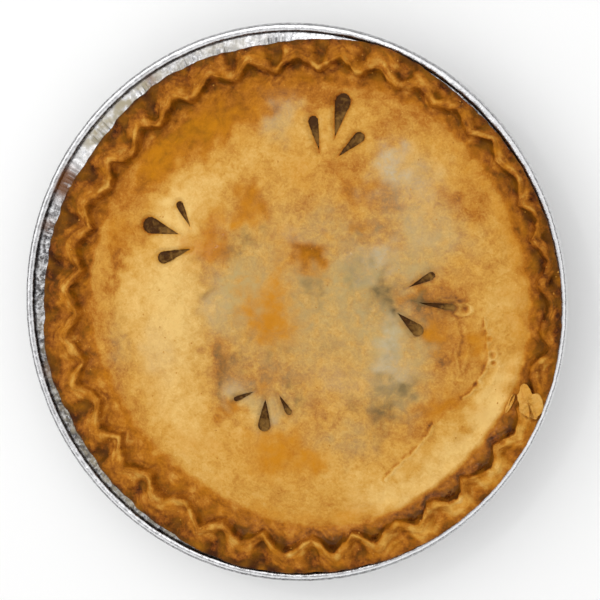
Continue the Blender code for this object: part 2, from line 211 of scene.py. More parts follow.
PALE = (
    (-49, -2, 13, 36, 0, 0.34), (-44, -48, 12, 16, 10, 0.15), (-30, 56, 14, 8, 20, 0.22),
    (93, -40, 9, 18, -22, 0.40), (77, -65, 17, 10, 38, 0.32), (50, -80, 18, 9, 14, 0.28),
    (-62, 8, 8, 26, -6, 0.12), (2, 62, 12, 8, 0, 0.07), (-72, 0, 6, 9, 0, 0.10),
    (91, -2, 7, 14, 0, 0.12), (78, -80, 10, 6, 35, 0.06), (-28, -66, 26, 10, -8, 0.05),
    (28, -72, 12, 8, 0, 0.08), (66, 55, 9, 8, 0, 0.08), (-52, 34, 13, 9, -20, 0.18),
    (1, 45, 7, 5, 0, 0.22), (36, 90, 12, 5, 0, 0.16), (-45, 45, 8, 7, 0, 0.27),
    (103, 2, 4, 14, 0, 0.20), (-14, 73, 8, 7, 0, 0.14), (14, 75, 8, 6, 0, 0.12),
    (-13, -46, 6, 5, 0, 0.16), (-45, -74, 10, 7, 0, 0.10),
)
# Thin khaki pastry over the wet fruit, taken back where the strength is negative
GREYED = (
    (10, -2, 46, 36, 0, 0.62), (-16, 12, 10, 14, 0, 0.35), (-24, 2, 9, 12, 0, 0.30),
    (47, -14, 12, 18, 0, 0.50), (33, 14, 13, 11, 0, 0.45), (52, 57, 13, 11, -30, 0.35),
    (62, 32, 18, 12, -20, 0.50), (52, -38, 13, 9, 20, 0.45), (31, -58, 12, 7, 0, 0.45),
    (61, -17, 8, 8, 0, 0.35), (58, 18, 10, 5, 0, 0.35), (-60, 31, 7, 7, 0, -0.1),
    (-1, 80, 7, 8, 10, 0.40), (-76, -20, 6, 14, 0, 0.34), (-20, -40, 10, 7, 0, 0.40),
    (-5, -45, 8, 9, 0, 0.35), (20, 34, 16, 7, 0, 0.25), (13, 22, 7, 7, 0, -0.55),
    (-5, -3, 8, 11, 12, -0.25), (-31, 26, 7, 5, 20, -0.30),
)
# Whitish film of flour and starch
FILMED = (
    (49, 60, 5, 9, -25, 0.75), (60, 51, 10, 9, -30, 0.36), (47.6, -13, 5, 10, 0, 0.65),
    (48.5, -27, 6, 8, 0, 0.70), (43, 18, 8, 7, 0, 0.60), (62, 32, 14, 8, -20, 0.22),
    (-1, 83, 6, 7, 0, 0.30), (-30, 2, 5, 12, 0, 0.25), (-56, -24, 8, 14, 0, 0.20),
    (26, -33, 10, 6, 0, 0.22), (-19, -38, 5, 4, 0, 0.22), (-6, -48, 4, 6, 0, 0.20),
    (8, 31, 8, 3, 0, 0.2),
)
# Dark olive, where the pastry is wet through
WET = (
    (45.6, 5.8, 6.0, 6.2, 0, 0.90), (52, -34.5, 8, 4.6, 20, 0.80), (45, -44.5, 6.0, 4.2, 0, 1.00),
    (46, -2, 5, 6, 0, 0.45), (37, 17.5, 4, 5, 0, 0.50), (31, 10, 3, 6, 0, 0.45),
    (16.2, 6.5, 3, 6.5, 0, 0.45), (-22, 24.5, 7, 4, 25, 0.55), (-25.2, -30.5, 2.6, 4.5, -35, 0.85),
    (-28.6, -37.6, 2.2, 4.5, -15, 0.85), (-13, 29, 4, 2, 15, 0.4), (1.9, -18.9, 4, 2.6, 0, 0.42),
    (4.8, -37, 1.8, 5, 5, 0.6), (-18, -24, 4, 2, 0, 0.35), (49, -20, 3, 6, 0, 0.35),
    (50, -1.5, 2.5, 3, 0, 0.5), (-4, -22, 2, 3, 0, 0.3), (31, -42, 3, 6, 0, 0.25),
    (74, 1, 5, 2.5, 0, 0.35), (-34, 10, 3, 3, 0, 0.35), (44, -53, 4, 5, 20, 0.25),
    (-15, -14, 3, 2, 0, 0.3), (32, 30, 2.5, 2, 0, 0.3), (22, -20, 3, 2, 0, 0.2), (8, 2, 3, 3, 0, 0.2),
)
# Where the pastry is soaked with juice
AMBER = (
    (-4.5, -2, 10.5, 13.5, 12, 0.98), (-7, -8, 6, 6, 12, 0.50), (-0.7, 17, 4, 9, 0, 0.40),
    (1, 30, 8, 5, 0, 0.15), (13.5, 20, 7, 8, 0, 0.60), (-13.4, 46, 5, 7, 10, 0.85),
    (-15, 36.3, 5, 3.5, 0, 0.70), (-29, 37, 4, 6, 0, 0.60), (-32, 26, 8, 6, 15, 0.90),
    (-43, 21, 4, 3, 0, 0.80), (32, 35.7, 4, 3, 0, 0.50), (-32, 79, 26, 9, 26, 0.90),
    (-59, 61, 13, 9, 47, 0.75), (-1.2, -65, 12, 8, 0, 0.95), (15, -66.6, 5, 4, 0, 0.90),
    (68, -10, 6, 7, 0, 0.75), (85.5, -14, 5, 6, 0, 0.70), (71, -43, 10, 6, 10, 0.78),
    (104, 2, 6, 30, 0, 0.45), (100, 36, 6, 10, 20, 0.40), (-77, 30, 7, 9, 0, 0.45),
    (28, -92, 14, 5, 8, 0.50), (-24, -48, 5, 3, 0, 0.70), (82, 60, 8, 16, 38, 0.25),
    (-10, -93, 22, 5, -6, 0.40), (-38, -60, 14, 6, -10, 0.25), (35, 51, 9, 5, -35, 0.30),
    (60, 6, 7, 3, 0, 0.40), (7, 58, 8, 7, 0, 0.35), (-27, -22, 4, 7, 20, 0.30), (-4, -33, 4, 3, 0, 0.4),
)
# Juice that boiled over and dried to a gloss
GLAZED = (
    (-33, 25, 8, 5, 10, 0.95), (-42, 21, 5, 3, 10, 0.80), (-26, 34, 5, 4, 0, 0.40),
    (-7, -49, 4, 7, 0, 0.75), (-21, -37, 7, 6, 15, 0.70), (34, 23, 5, 4, 0, 0.60),
    (44, -3, 7, 3, 0, 0.60), (91, -18, 3, 8, -10, 0.30),
)
# Where the rim is darker (+) or lighter (-) all through: angle, half width, change
RIM_BROWNING = (
    (20, 34, 0.10), (212, 30, -0.03), (122, 22, 0.04), (86, 16, 0.05), (166, 26, 0.07),
    (-78, 12, -0.07),
)
# The same for its outer part only
OUTER_BROWNING = (
    (218, 46, 0.14), (268, 26, 0.21), (175, 28, 0.21), (122, 20, 0.19), (72, 18, 0.07),
    (-42, 20, -0.28), (32, 18, -0.06), (2, 12, 0.16),
)
# How much darker the pockets inside the flutes are, from browning and painted shade: angle, half width,
# change
POCKET_SHADE_AND_BROWNING = (
    (-57, 24, 0.52), (-97, 22, 0.15), (-25, 18, 0.20), (10, 34, 0.26), (84, 27, 0.24), (42, 20, 0.08),
    (165, 40, 0.05), (120, 20, 0.06), (215, 30, 0.06),
)
# Where the rim's browning reaches in over the lid: angle, half width, distance in mm
MARGIN = (
    (238, 32, 4.6), (86, 22, 4.0), (203, 10, 1.6), (122, 14, 3.0), (40, 16, 1.0), (160, 10, 1.0),
    (-38, 20, 1.6), (16, 14, 1.3),
)
# Where the rim's inner side is sticky with caramel: angle, half width, strength
CARAMEL = ((-52, 17, 1.0), (-80, 9, 0.85), (-30, 7, 0.75), (-100, 6, 0.45), (196, 4, 0.4))
PUDDLE_RINGS, PUDDLE_POINTS = 8, 44
# Puddles of it: angle, distance inside the crest, half length and half width in mm
PUDDLES = (
    (271, 2.2, 2.0, 1.0), (282, 2.2, 2.2, 1.2), (292.5, 2.0, 2.4, 1.4), (302, 2.0, 2.4, 1.4),
    (312.5, 2.2, 2.6, 1.5), (322, 2.2, 2.2, 1.2), (332, 2.0, 2.0, 1.0),
)
# Creases across the lid: height in mm, then the places they run through, in mm
CREASES = (
    (0.50, ((46, -74), (52.6, -67), (58.7, -61.5), (64, -54.3), (67, -50))),
    (0.22, ((67, -50), (74, -44), (82.5, -35.8))),
    (0.55, ((80, -37.5), (85.8, -31.5), (90.7, -21.2), (89.8, -11), (88.5, -4))),
    (0.28, ((76, -4), (78.6, -12), (77, -20), (78.4, -27))),
    (0.24, ((80.6, -8), (81.8, -17), (80, -26))),
    (0.20, ((93.5, -16), (94.5, -24), (91, -32))),
    (0.30, ((76, 2.6), (80, 3.2), (83, 1.4), (83.2, -1.4), (80, -2.6), (76.5, -1.6))),
    (0.25, ((71, 3.8), (76, 4.0), (79.5, 2.2))),
)
# Small pits with a raised lip: x, y, half width in mm
PITS = (
    (90.2, -12.3, 1.2), (91.6, -19.3, 1.3), (92.2, -22.6, 1.0), (85.2, -31.8, 1.4), (80.4, 0.2, 1.6),
)
# Small blisters in the lid: x, y, reach, height in mm
BLISTERS = (
    (77, 1.2, 2.2, 0.5), (36.7, 24.7, 1.2, 0.6), (31.9, 22.1, 1.1, 0.6), (38.1, -3.8, 1.2, 0.6),
    (49.1, -3.2, 1.2, 0.6), (41, -1.5, 1.0, 0.4), (-19, -32.6, 1.6, 0.6), (-22.8, -42.4, 1.5, 0.5),
    (-21.5, -38, 1.5, 0.5), (-16, -35.5, 1.3, 0.4), (-16, -46, 1.5, 0.35), (2, 88, 1.6, 0.4),
    (-26, 29, 1.4, 0.5), (-31, 22, 1.2, 0.5), (-34, 27, 1.2, 0.5), (-29, 24.5, 1.0, 0.5),
    (40, 24, 1.6, 0.35), (44, 18, 1.3, 0.35), (67, -30, 2.2, 0.4), (-72, 14, 2.4, 0.35),
    (24, 40, 2.6, 0.3), (-5, 28, 2.8, 0.3), (-4, -49, 1.4, 0.5), (-1, -44, 1.2, 0.4),
    (17, -50, 1.6, 0.5),
)

# Marks on the tin round the pastry: angle, half width, strength
FLANGE_FILM = ((128, 9, 1.2), (140, 4, 0.9), (105, 12, 0.45), (225, 34, 0.75), (262, 14, 0.5))
# Painted dark reflections on the flange: angle, half width, strength
FLANGE_PAINTED_DARK = (
    (168, 18, 0.75), (200, 16, 0.80), (232, 30, 0.85), (272, 16, 0.7), (112, 34, 0.50),
)
FLANGE_STAIN = ((152.5, 3.0, 1.5), (163, 1.5, 0.5), (122, 1.2, 0.5), (-38, 6, 0.6), (196, 2, 0.4))
# How strong the painted dark reflections and shade on the bead are round the tin: angle, half width,
# strength
BEAD_PAINTED_DARK = ((168, 78, 0.95), (270, 34, 0.8), (60, 40, 0.4))

# ------------------------------------------------------------ light and camera

KEY_PLACE, KEY_WIDTH = (-0.42, 0.42, 0.90), 1.3
SPARKLE_PLACE, SPARKLE_WIDTH = (-0.20, 0.30, 0.95), 0.04
# Brightness of the sky from the horizon to the top: share of the way up, grey
SKY_BELT = ((0.34, 0.16), (0.50, 0.9), (0.58, 1.0), (0.84, 1.0), (0.93, 0.66))
HORIZON_COLOUR = (0.08, 0.08, 0.085)
TOP_COLOUR = (0.60, 0.60, 0.62)
VIEW_CENTRE = (6.579 * MM, 2.2505 * MM, 30 * MM)
SENSOR_WIDTH = 36                   # in millimetres, like the lens
FLOOR_HALF_SIZE = 8.0


def display(red, green, blue):
    """A colour as a screen shows it, 0 to 255, as the linear values that shaders take."""
    linear = []
    for value in (red, green, blue):
        share = value / 255
        if share <= 0.04045:
            linear.append(share / 12.92)
        else:
            linear.append(((share + 0.055) / 1.055) ** 2.4)
    return tuple(linear)


# ------------------------------------------------------------ settings

def colour_setting(name, description, default):
    return FloatVectorProperty(
        name=name, description=description, default=default, subtype='COLOR', min=0, max=1)


def length_setting(name, description, default):
    return FloatProperty(name=name, description=description, default=default, unit='LENGTH')


class TinSettings(bpy.types.PropertyGroup):
    """Sizes and finish of the foil tin."""
    rim_radius: length_setting("Rim radius", "Outermost edge of the rolled bead", TIN_HIGH.x)
    bead_radius: length_setting("Bead radius", "Half thickness of the rolled bead", 2.1 * MM)
    steps: IntProperty(
        name="Steps", description="Points round the tin", default=1200, min=144)
    fold_width: length_setting("Fold width", "Usual width of one fold of the flange and wall", 2.6 * MM)
    flange_fold: length_setting("Flange fold", "How high a fold of the flange stands", 0.42 * MM)
    dent: length_setting("Dents", "Depth of the small dents in the bead", 0.16 * MM)
    foil_colour: colour_setting("Foil", "Colour of the bare foil", (0.80, 0.80, 0.81))
    # Colour of the painted dark reflections and shade on the foil
    painted_dark_colour: colour_setting(
        "Tarnish", "Dark grease burned into the creases", (0.075, 0.07, 0.072))
    residue_colour: colour_setting("Residue", "Baked-on film of flour and fat", display(168, 158, 134))
    stain_colour: colour_setting("Stain", "Juice that ran out and burned on", display(112, 66, 24))


class PastrySettings(bpy.types.PropertyGroup):
    """Form and colours of the crust."""
    steps_per_flute: IntProperty(
        name="Steps per flute", description="Points along one flute of the rim", default=20, min=4)
    crest_height: length_setting(
        "Crest height", "Height of the flutes' crest over the table", 37.3 * MM)
    flute_unevenness: FloatProperty(
        name="Uneven flutes", description="Share by which a flute's reach differs",
        default=0.12, min=0, max=0.5, subtype='FACTOR')
    lid_relief: length_setting("Lid relief", "Height of the lid's soft unevenness", 0.62 * MM)
    rim_relief: length_setting("Rim relief", "Height of the rim's crags", 1.0 * MM)
    lip_dip: length_setting("Slit lip", "How far the lid sinks towards a slit", 1.3 * MM)
    lip_reach: length_setting("Slit lip reach", "How far from a slit the lid begins to sink", 2.4 * MM)
    dough_colour: colour_setting("Pale dough", "Least baked pastry", display(238, 197, 119))
    golden_colour: colour_setting("Golden", "Pastry baked golden", display(210, 155, 67))
    brown_colour: colour_setting("Brown", "Well baked pastry", display(177, 109, 31))
    # Reached where the pastry is well browned, and in the rim's pockets and hollows, where painted shade
    # darkens it too
    dark_colour: colour_setting("Dark", "Dark pastry in the hollows", display(128, 68, 17))
    caramel_colour: colour_setting("Caramel", "Juice boiled down to caramel", display(66, 32, 8))
    grey_colour: colour_setting("Thin pastry", "Thin pastry over wet fruit", display(188, 162, 106))
    film_colour: colour_setting("Film", "Whitish film of flour and starch", display(200, 185, 152))
    wet_colour: colour_setting("Wet pastry", "Pastry that is wet through", display(110, 91, 56))
    amber_colour: colour_setting("Amber", "Pastry soaked with juice", display(199, 127, 10))


class FillingSettings(bpy.types.PropertyGroup):
    """Fruit and juice."""
    fruit_colour: colour_setting("Fruit", "Cooked peach", display(196, 128, 42))
    juice_colour: colour_setting("Juice", "Thick juice in the slits", display(138, 100, 44))
    # Colour of the juice's darker pulp and of the painted shade on it
    dark_juice_colour: colour_setting("Deep juice", "Juice where it is deep", display(66, 38, 8))
    thin_caramel_colour: colour_setting(
        "Thin caramel", "Caramel on the rim where it is thin", display(110, 56, 12))
    crumbs: IntProperty(
        name="Crumbs", description="Loose crumbs on the crust", default=220, min=0)


class StudioSettings(bpy.types.PropertyGroup):
    """Camera, light and floor."""
    lens: FloatProperty(
        name="Lens", description="Focal length in millimetres", default=96.182)
    distance: length_setting("Distance", "From the camera to the point it looks at", 0.7)
    tilt: FloatProperty(
        name="Tilt", description="Angle between the line of sight and straight down",
        default=math.radians(14.9126), subtype='ANGLE')
    turn: FloatProperty(
        name="Turn", description="Side from which the camera looks down, from +X",
        default=math.radians(15.3195), subtype='ANGLE')
    key_power: FloatProperty(
        name="Key light", description="Power of the soft key light", default=2.5, subtype='POWER')
    sparkle_power: FloatProperty(
        name="Sparkle light", description="Power of the small bare lamp that makes glints",
        default=0.35, subtype='POWER')
    sky_strength: FloatProperty(
        name="Sky", description="Strength of the light from all round", default=1.20)
    floor_colour: colour_setting("Floor", "Colour of the floor", (0.93, 0.93, 0.925))


# ------------------------------------------------------------ small helpers

def clamp(value):
    return min(max(value, 0.0), 1.0)


def smoothstep(low, high, value):
    share = clamp((value - low) / (high - low))
    return share * share * (3.0 - 2.0 * share)


def mix(start, end, share):
    return start + (end - start) * share


def bell(distance, reach):
    return math.exp(-(distance / reach) ** 2)


def bumpiness(x, y, z, size, seed):
    """Smooth noise from about -1 to 1, whose bumps are about a given size apart."""
    return noise.noise(Vector((x / size + seed, y / size - seed, z / size + 2 * seed)))


def layered_noise(x, y, layers):
    """Sum of layers of smooth noise, each a height, a size in millimetres and a seed."""
    return sum(height * bumpiness(x, y, 0, size * MM, seed) for height, size, seed in layers)


def angle_between(angle, other):
    """How far one direction lies from another, both in degrees."""
    return (angle - other + 180.0) % 360.0 - 180.0


def around(marks, degrees):
    """Sum of soft marks round the rim, each an angle, a half width and a strength."""
    return sum(strength * bell(angle_between(degrees, middle), wide) for middle, wide, strength in marks)


def circle_reach(circle, angle):
    """Distance from the origin to an off-centre circle, along a direction."""
    x, y, radius = circle
    along = x * math.cos(angle) + y * math.sin(angle)
    across = y * math.cos(angle) - x * math.sin(angle)
    return along + math.sqrt(radius * radius - across * across)


def spots_at(spots, x, y):
    """Sum of soft oval spots at a place, all in millimetres."""
    total = 0.0
    for spot_x, spot_y, along_reach, across_reach, turn, strength in spots:
        angle = math.radians(turn)
        away_x, away_y = x - spot_x, y - spot_y
        if abs(away_x) + abs(away_y) > 3 * (along_reach + across_reach):
            continue
        along = away_x * math.cos(angle) + away_y * math.sin(angle)
        across = away_y * math.cos(angle) - away_x * math.sin(angle)
        total += strength * math.exp(-(along / along_reach) ** 2 - (across / across_reach) ** 2)
    return total


def new_object(name, content, material=None):
    """Make an object at the origin from a bmesh, which is freed, or from a lamp or camera."""
    data = content
    if isinstance(content, bmesh.types.BMesh):
        data = bpy.data.meshes.new(name)
        content.to_mesh(data)
        content.free()
    thing = bpy.data.objects.new(name, data)
    bpy.context.scene.collection.objects.link(thing)
    if material:
        data.materials.append(material)
    return thing


def spin_round(builder, points, steps):
    """Turn a row of points right round the Z axis into a surface."""
    row = [builder.verts.new(point) for point in points]
    edges = [builder.edges.new(pair) for pair in zip(row, row[1:])]
    bmesh.ops.spin(
        builder, geom=row + edges, cent=(0, 0, 0), axis=(0, 0, 1), dvec=(0, 0, 0),
        angle=FULL_TURN, steps=steps, use_merge=True, use_normal_flip=False, use_duplicate=False)


def open_edges(builder):
    return [edge for edge in builder.edges if edge.is_boundary]


def made_by(operation, kind):
    """The new vertices or faces in the result of a bmesh operator."""
    return [item for item in operation["geom"] if isinstance(item, kind)]


def smooth_shade(mesh, degrees):
    mesh.shade_smooth()
    mesh.set_sharp_from_angle(angle=math.radians(degrees))


def keep_attribute(mesh, name, values):
    """Store one number for each point, which the material reads by name."""
    attribute = mesh.attributes.new(name, 'FLOAT', 'POINT')
    attribute.data.foreach_set("value", values)


def dress(piece, material):
    """Give a piece one material instead of those that it has."""
    piece.data.materials.clear()
    piece.data.materials.append(material)


def finish_piece(piece, slot, *replaced):
    """The pie is one body, so every piece rides on it."""
    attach(piece, "root")
    if replaced:
        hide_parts(*replaced)


# ------------------------------------------------------------ form of the crust

class CrustForm:
    """Height of the crust at any place, and where its fluted rim runs."""

    def __init__(self, look):
        self.look = look
        draw = random.Random(FLUTE_SEED)
        uneven = look.flute_unevenness
        self.turns = [draw.uniform(-uneven, uneven) for _ in range(2 * FLUTES)]

    # -------- the rim from above

    @staticmethod
    def direction(turn):
        """Direction of a place along the rim; the flutes crowd together on the +X side."""
        lean = FLUTE_LEAN_SIN * math.sin(turn) + FLUTE_LEAN_COS * math.cos(turn)
        return turn + math.radians(FLUTE_START + lean)

    def turn_towards(self, direction):
        """Position along the rim that shows in a direction, the inverse of direction()."""
        turn = direction
        for _ in range(5):
            turn += direction - self.direction(turn)
        return turn

    def sharp_share(self, place):
        """Nearly straight runs from pinch to crest and back, each turn with its own reach."""
        turn = math.floor(place)
        start = turn % 2 + self.turns[turn % len(self.turns)]
        end = (turn + 1) % 2 + self.turns[(turn + 1) % len(self.turns)]
        step = place - turn
        return mix(start, end, mix(step, smoothstep(0.0, 1.0, step), 0.12))

    def share(self, turn):
        """How far the crest is pushed out: 0 at a pinch, 1 between two pinches."""
        place = turn / FULL_TURN * 2 * FLUTES
        place += FLUTE_WANDER * noise.noise(Vector((8 * math.cos(turn), 8 * math.sin(turn), 3.0)))
        sides = self.sharp_share(place - FLUTE_ROUNDING) + self.sharp_share(place + FLUTE_ROUNDING)
        return (2 * self.sharp_share(place) + sides) / 4

    @staticmethod
    def moat_reach(direction):
        return circle_reach(MOAT_CIRCLE, direction)

    @staticmethod
    def edge_reach(direction):
        reach = circle_reach(EDGE_CIRCLE, direction) + MM * around(EDGE_LOBES, math.degrees(direction))
        x, y = reach * math.cos(direction), reach * math.sin(direction)
        return reach + MM * (layered_noise(x, y, EDGE_RAGS) - 0.1)

    def crest_reach(self, direction, share, moat, edge):
        inner = circle_reach(CREST_IN_CIRCLE, direction)
        outer = circle_reach(CREST_OUT_CIRCLE, direction)
        reach = mix(inner, outer, share) + MM * around(CREST_LOBES, math.degrees(direction))
        x, y = reach * math.cos(direction), reach * math.sin(direction)
        reach += MM * layered_noise(x, y, CREST_RAGS)
        reach = max(reach, moat + CREST_ROOM)
        return min(reach, edge - CREST_EDGE_ROOM)

    def along(self, turn):
        """All that the section of the rim needs at one place along it."""
        direction = self.direction(turn)
        share = self.share(turn)
        edge = self.edge_reach(direction)
        moat = self.moat_reach(direction)
        crest = self.crest_reach(direction, share, moat, edge)
        return direction, share, moat, crest, edge

    # -------- heights

    @staticmethod
    def underside(radius):
        return UNDERSIDE_HEIGHT + UNDERSIDE_LIFT * smoothstep(LIFT_START_RADIUS, LIFT_END_RADIUS, radius)

    def rim_height(self, radius, direction, share, moat, crest, edge):
        """A layered ridge that falls steeply inwards, and outwards over a pillow or a hollow."""
        x, y = radius * math.cos(direction), radius * math.sin(direction)
        top = self.look.crest_height + 1.8 * MM * bumpiness(x, y, 0, 8 * MM, 21) - 0.5 * MM
        pushed = clamp(share)
        pillow = smoothstep(PILLOW_START, PILLOW_END, share)
        outward = radius - crest
        if outward < 0.0:
            foot = max(crest - mix(0.75, 1.15, pushed) * CREST_INNER_FOOT, moat + GAP)
            floor = MOAT_HEIGHT + HOLLOW_RISE * (min(radius, foot) - moat) + PINCH_RISE * (1.0 - pushed)
            height = mix(floor, top - 0.25 * MM, smoothstep(foot, crest, radius))
        else:
            ridge = min(RIDGE_WIDTH, RIDGE_SHARE * (edge - crest))
            fall_end = min(crest + HOLLOW_FOOT + PILLOW_REACH * pillow, edge - EDGE_ROUND)
            shelf = HOLLOW_HEIGHT + PILLOW_RISE * pillow - EDGE_DROP * smoothstep(fall_end, edge, radius)
            shelf += 0.6 * MM * bumpiness(x, y, 0, 7 * MM, 27)
            back = top - RIDGE_FALL * min(outward / ridge, 2.0)
            height = mix(back, shelf, smoothstep(crest + 0.5 * ridge, fall_end, radius))
        height += 0.25 * MM * bell(outward - 0.7 * MM, 1.0 * MM)
        fade = smoothstep(moat - 1.0 * MM, moat + 2.5 * MM, radius)
        fade *= 1.0 - 0.6 * smoothstep(edge - 2.0 * MM, edge, radius)
        crag = bumpiness(x, y, height, 4.0 * MM, 31) + 0.6 * bumpiness(x, y, height, 1.9 * MM, 37)
        layers = self.layers(outward, direction)
        height += self.look.rim_relief * (0.75 * crag + 0.55 * layers) * fade
        return max(height, self.underside(radius) + 1.1 * MM)

    @staticmethod
    def layers(outward, direction):
        """Uneven streaks that run along the crest, where the pastry was folded over."""
        along = direction * LID_REACH / (8 * MM)
        across = outward / (1.5 * MM)
        coarse = noise.noise(Vector((across, along, 5.0)))
        return coarse + 0.5 * noise.noise(Vector((2.1 * across, along, 9.0)))

    def lid_height(self, x, y):
        """The lid without its fine relief, as in the solids."""
        centre_x, centre_y, radius = MOAT_CIRCLE
        share = min(math.hypot(x - centre_x, y - centre_y) / radius, 1.0)
        height = MOAT_HEIGHT + LID_SHOULDER * (1.0 - share ** LID_SHOULDER_POWER)
        height += LID_CROWN * (1.0 - share * share)
        for swell_x, swell_y, reach, rise in LID_SWELLS:
            away = math.hypot(x - swell_x * MM, y - swell_y * MM)
            height += rise * MM * bell(away, reach * MM)
        return height

    def lid_surface(self, x, y):
        """The lid with its relief, blisters, pits, creases and the lips round its slits."""
        centre_x, centre_y, radius = MOAT_CIRCLE
        inside = radius - math.hypot(x - centre_x, y - centre_y)
        fade = 0.35 + 0.65 * smoothstep(0.0, 6 * MM, inside)
        waves = layered_noise(x, y, LID_WAVES) - 0.45
        height = self.lid_height(x, y) + self.look.lid_relief * waves * fade
        if inside < PINCH_REACH:
            pinched = 1.0 - clamp(self.share(self.turn_towards(math.atan2(y, x))))
            height += PINCH_RISE * pinched * (1.0 - smoothstep(0.0, PINCH_REACH, inside))
        place_x, place_y = x / MM, y / MM
        for blister_x, blister_y, reach, rise in BLISTERS:
            away = math.hypot(place_x - blister_x, place_y - blister_y)
            if away < 3 * reach:
                height += rise * MM * bell(away, reach)
        for away in pits_near(place_x, place_y):
            height += 0.28 * MM * bell(away - 1.4, 0.5) - 0.5 * MM * bell(away, 0.8)
        height += crease_at(place_x, place_y)[0] * MM
        beyond = beyond_slits(x, y)
        sink = 1.0 - smoothstep(-0.3 * MM, self.look.lip_reach, beyond)
        swell = 0.12 * MM * bell(beyond - self.look.lip_reach - 0.6 * MM, 1.6 * MM)
        return height - self.look.lip_dip * sink ** 1.5 + swell


def slit_distance(slit, x, y, draw_in=0.0):
    """Distance outside a teardrop slit, negative inside it: a round end and straight sides."""
    wide_x, wide_y, tip_x, tip_y, width = (value * MM for value in slit[:5])
    length = math.hypot(tip_x - wide_x, tip_y - wide_y)
    along_x, along_y = (tip_x - wide_x) / length, (tip_y - wide_y) / length
    away_x, away_y = x - wide_x, y - wide_y
    along = away_x * along_x + away_y * along_y
    across = abs(away_y * along_x - away_x * along_y)
    radius = width / 2
    lean = radius / length
    side = math.sqrt(1.0 - lean * lean)
    reach = side * along - lean * across
    if reach < 0.0:
        return math.hypot(along, across) - radius + draw_in
    if reach > side * length:
        return math.hypot(along - length, across) + draw_in
    return across * side + along * lean - radius + draw_in


def beyond_slits(x, y):
    """Distance outside the nearest slit, negative inside one."""
    return min(slit_distance(slit, x, y) for slit in SLITS)


def from_slit_outline(x, y):
    return min(abs(slit_distance(slit, x, y)) for slit in SLITS)


def slit_ends(slit, height):
    """Centre of a slit's round end and its tip, at one height."""
    return Vector((slit[0] * MM, slit[1] * MM, height)), Vector((slit[2] * MM, slit[3] * MM, height))


def slit_middle(slit, height=0.0):
    wide, tip = slit_ends(slit, height)
    return wide.lerp(tip, SLIT_MIDDLE)


def pits_near(x, y):
    """How far the closest pits are from a place, each counted in its own half widths."""
    for pit_x, pit_y, half_width in PITS:
        away = math.hypot(x - pit_x, y - pit_y) / half_width
        if away < 3:
            yield away


def crease_at(x, y):
    """Height of the creases at a place and how much they darken it, all in millimetres."""
    height = shade = 0.0
    wander = 0.8 * noise.noise(Vector((x / 4, y / 4, 7.0)))
    for rise, places in CREASES:
        nearest, side = 9.0, 0.0
        for (start_x, start_y), (end_x, end_y) in zip(places, places[1:]):
            run_x, run_y = end_x - start_x, end_y - start_y
            share = ((x - start_x) * run_x + (y - start_y) * run_y) / (run_x ** 2 + run_y ** 2)
            share = clamp(share)
            away_x, away_y = x - start_x - share * run_x, y - start_y - share * run_y
            away = math.hypot(away_x, away_y)
            if away < nearest:
                nearest = away
                side = math.copysign(away, away_x * run_y - away_y * run_x) + wander
        if nearest < 6.0:
            height += rise * bell(side, 0.8)
            shade += rise * (0.8 * bell(side + 0.9, 0.6) - 0.5 * bell(side - 0.2, 0.7))
    return height, shade


def near_detail(x, y):
    """Distance from the nearest small feature of the lid that needs fine points."""
    if crease_at(x / MM, y / MM)[0] > 0.03:
        return 0.0
    pits = min(math.hypot(x / MM - pit_x, y / MM - pit_y) for pit_x, pit_y, _ in PITS)
    return min(from_slit_outline(x, y), pits * MM)


# ------------------------------------------------------------ the crust's mesh

RIM_RINGS = 40          # rings of points between the moat and the cut edge
EDGE_RINGS = 5          # rings round the cut edge
CREST_RING = 0.42       # share of the rings that lie inside the crest
CROWDING_IN = 1.35      # how the rings crowd towards the crest from inside and from outside
CROWDING_OUT = 1.2
LAST_RING = RIM_RINGS + EDGE_RINGS + 2


def rim_point(form, turn, ring):
    """Place of a point of the rim, by its turn and its ring, from the moat out and round."""
    direction, share, moat, crest, edge = form.along(turn)
    under = form.underside(edge)
    if ring > RIM_RINGS + EDGE_RINGS:
        clearance = WALL_PLEAT + 1.5 * GAP
        if ring < LAST_RING:
            radius, height = FLANGE_RADIUS - clearance, UNDERSIDE_HEIGHT
        else:
            radius, height = BASE_RADIUS - clearance, FOIL + GAP
    else:
        top = form.rim_height(edge - EDGE_ROUND, direction, share, moat, crest, edge)
        rounding = min(0.48 * (top - under), 0.7 * (edge - crest))
        reach = edge - rounding
        if ring <= RIM_RINGS:
            step = ring / RIM_RINGS
            if step < CREST_RING:
                radius = crest - (crest - moat) * (1.0 - step / CREST_RING) ** CROWDING_IN
            else:
                beyond = (step - CREST_RING) / (1.0 - CREST_RING)
                radius = crest + (reach - crest) * beyond ** CROWDING_OUT
            if ring == 0:
                height = form.lid_surface(moat * math.cos(direction), moat * math.sin(direction))
            else:
                height = form.rim_height(radius, direction, share, moat, crest, edge)
                height = mix(height, top, smoothstep(reach - 1.2 * MM, reach, radius))
        else:
            roll = math.pi * (ring - RIM_RINGS) / EDGE_RINGS
            radius = reach + rounding * math.sin(roll)
            height = mix(under, top, (1.0 + math.cos(roll)) / 2)
    return Vector((radius * math.cos(direction), radius * math.sin(direction), height))


def add_rim(builder, form, steps):
    """Spin a flat washer, one unit of radius for each ring, and lay it in the rim's form."""
    spin_round(builder, [(1.0 + ring, 0.0, 0.0) for ring in range(LAST_RING + 1)], steps)
    for vertex in builder.verts:
        step = round(math.atan2(vertex.co.y, vertex.co.x) / FULL_TURN * steps)
        ring = round(vertex.co.xy.length - 1.0)
        vertex.co = rim_point(form, FULL_TURN * step / steps, ring)
    base = [edge for edge in open_edges(builder) if edge.verts[0].co.z < MOAT_HEIGHT / 2]
    bmesh.ops.contextual_create(builder, geom=base)


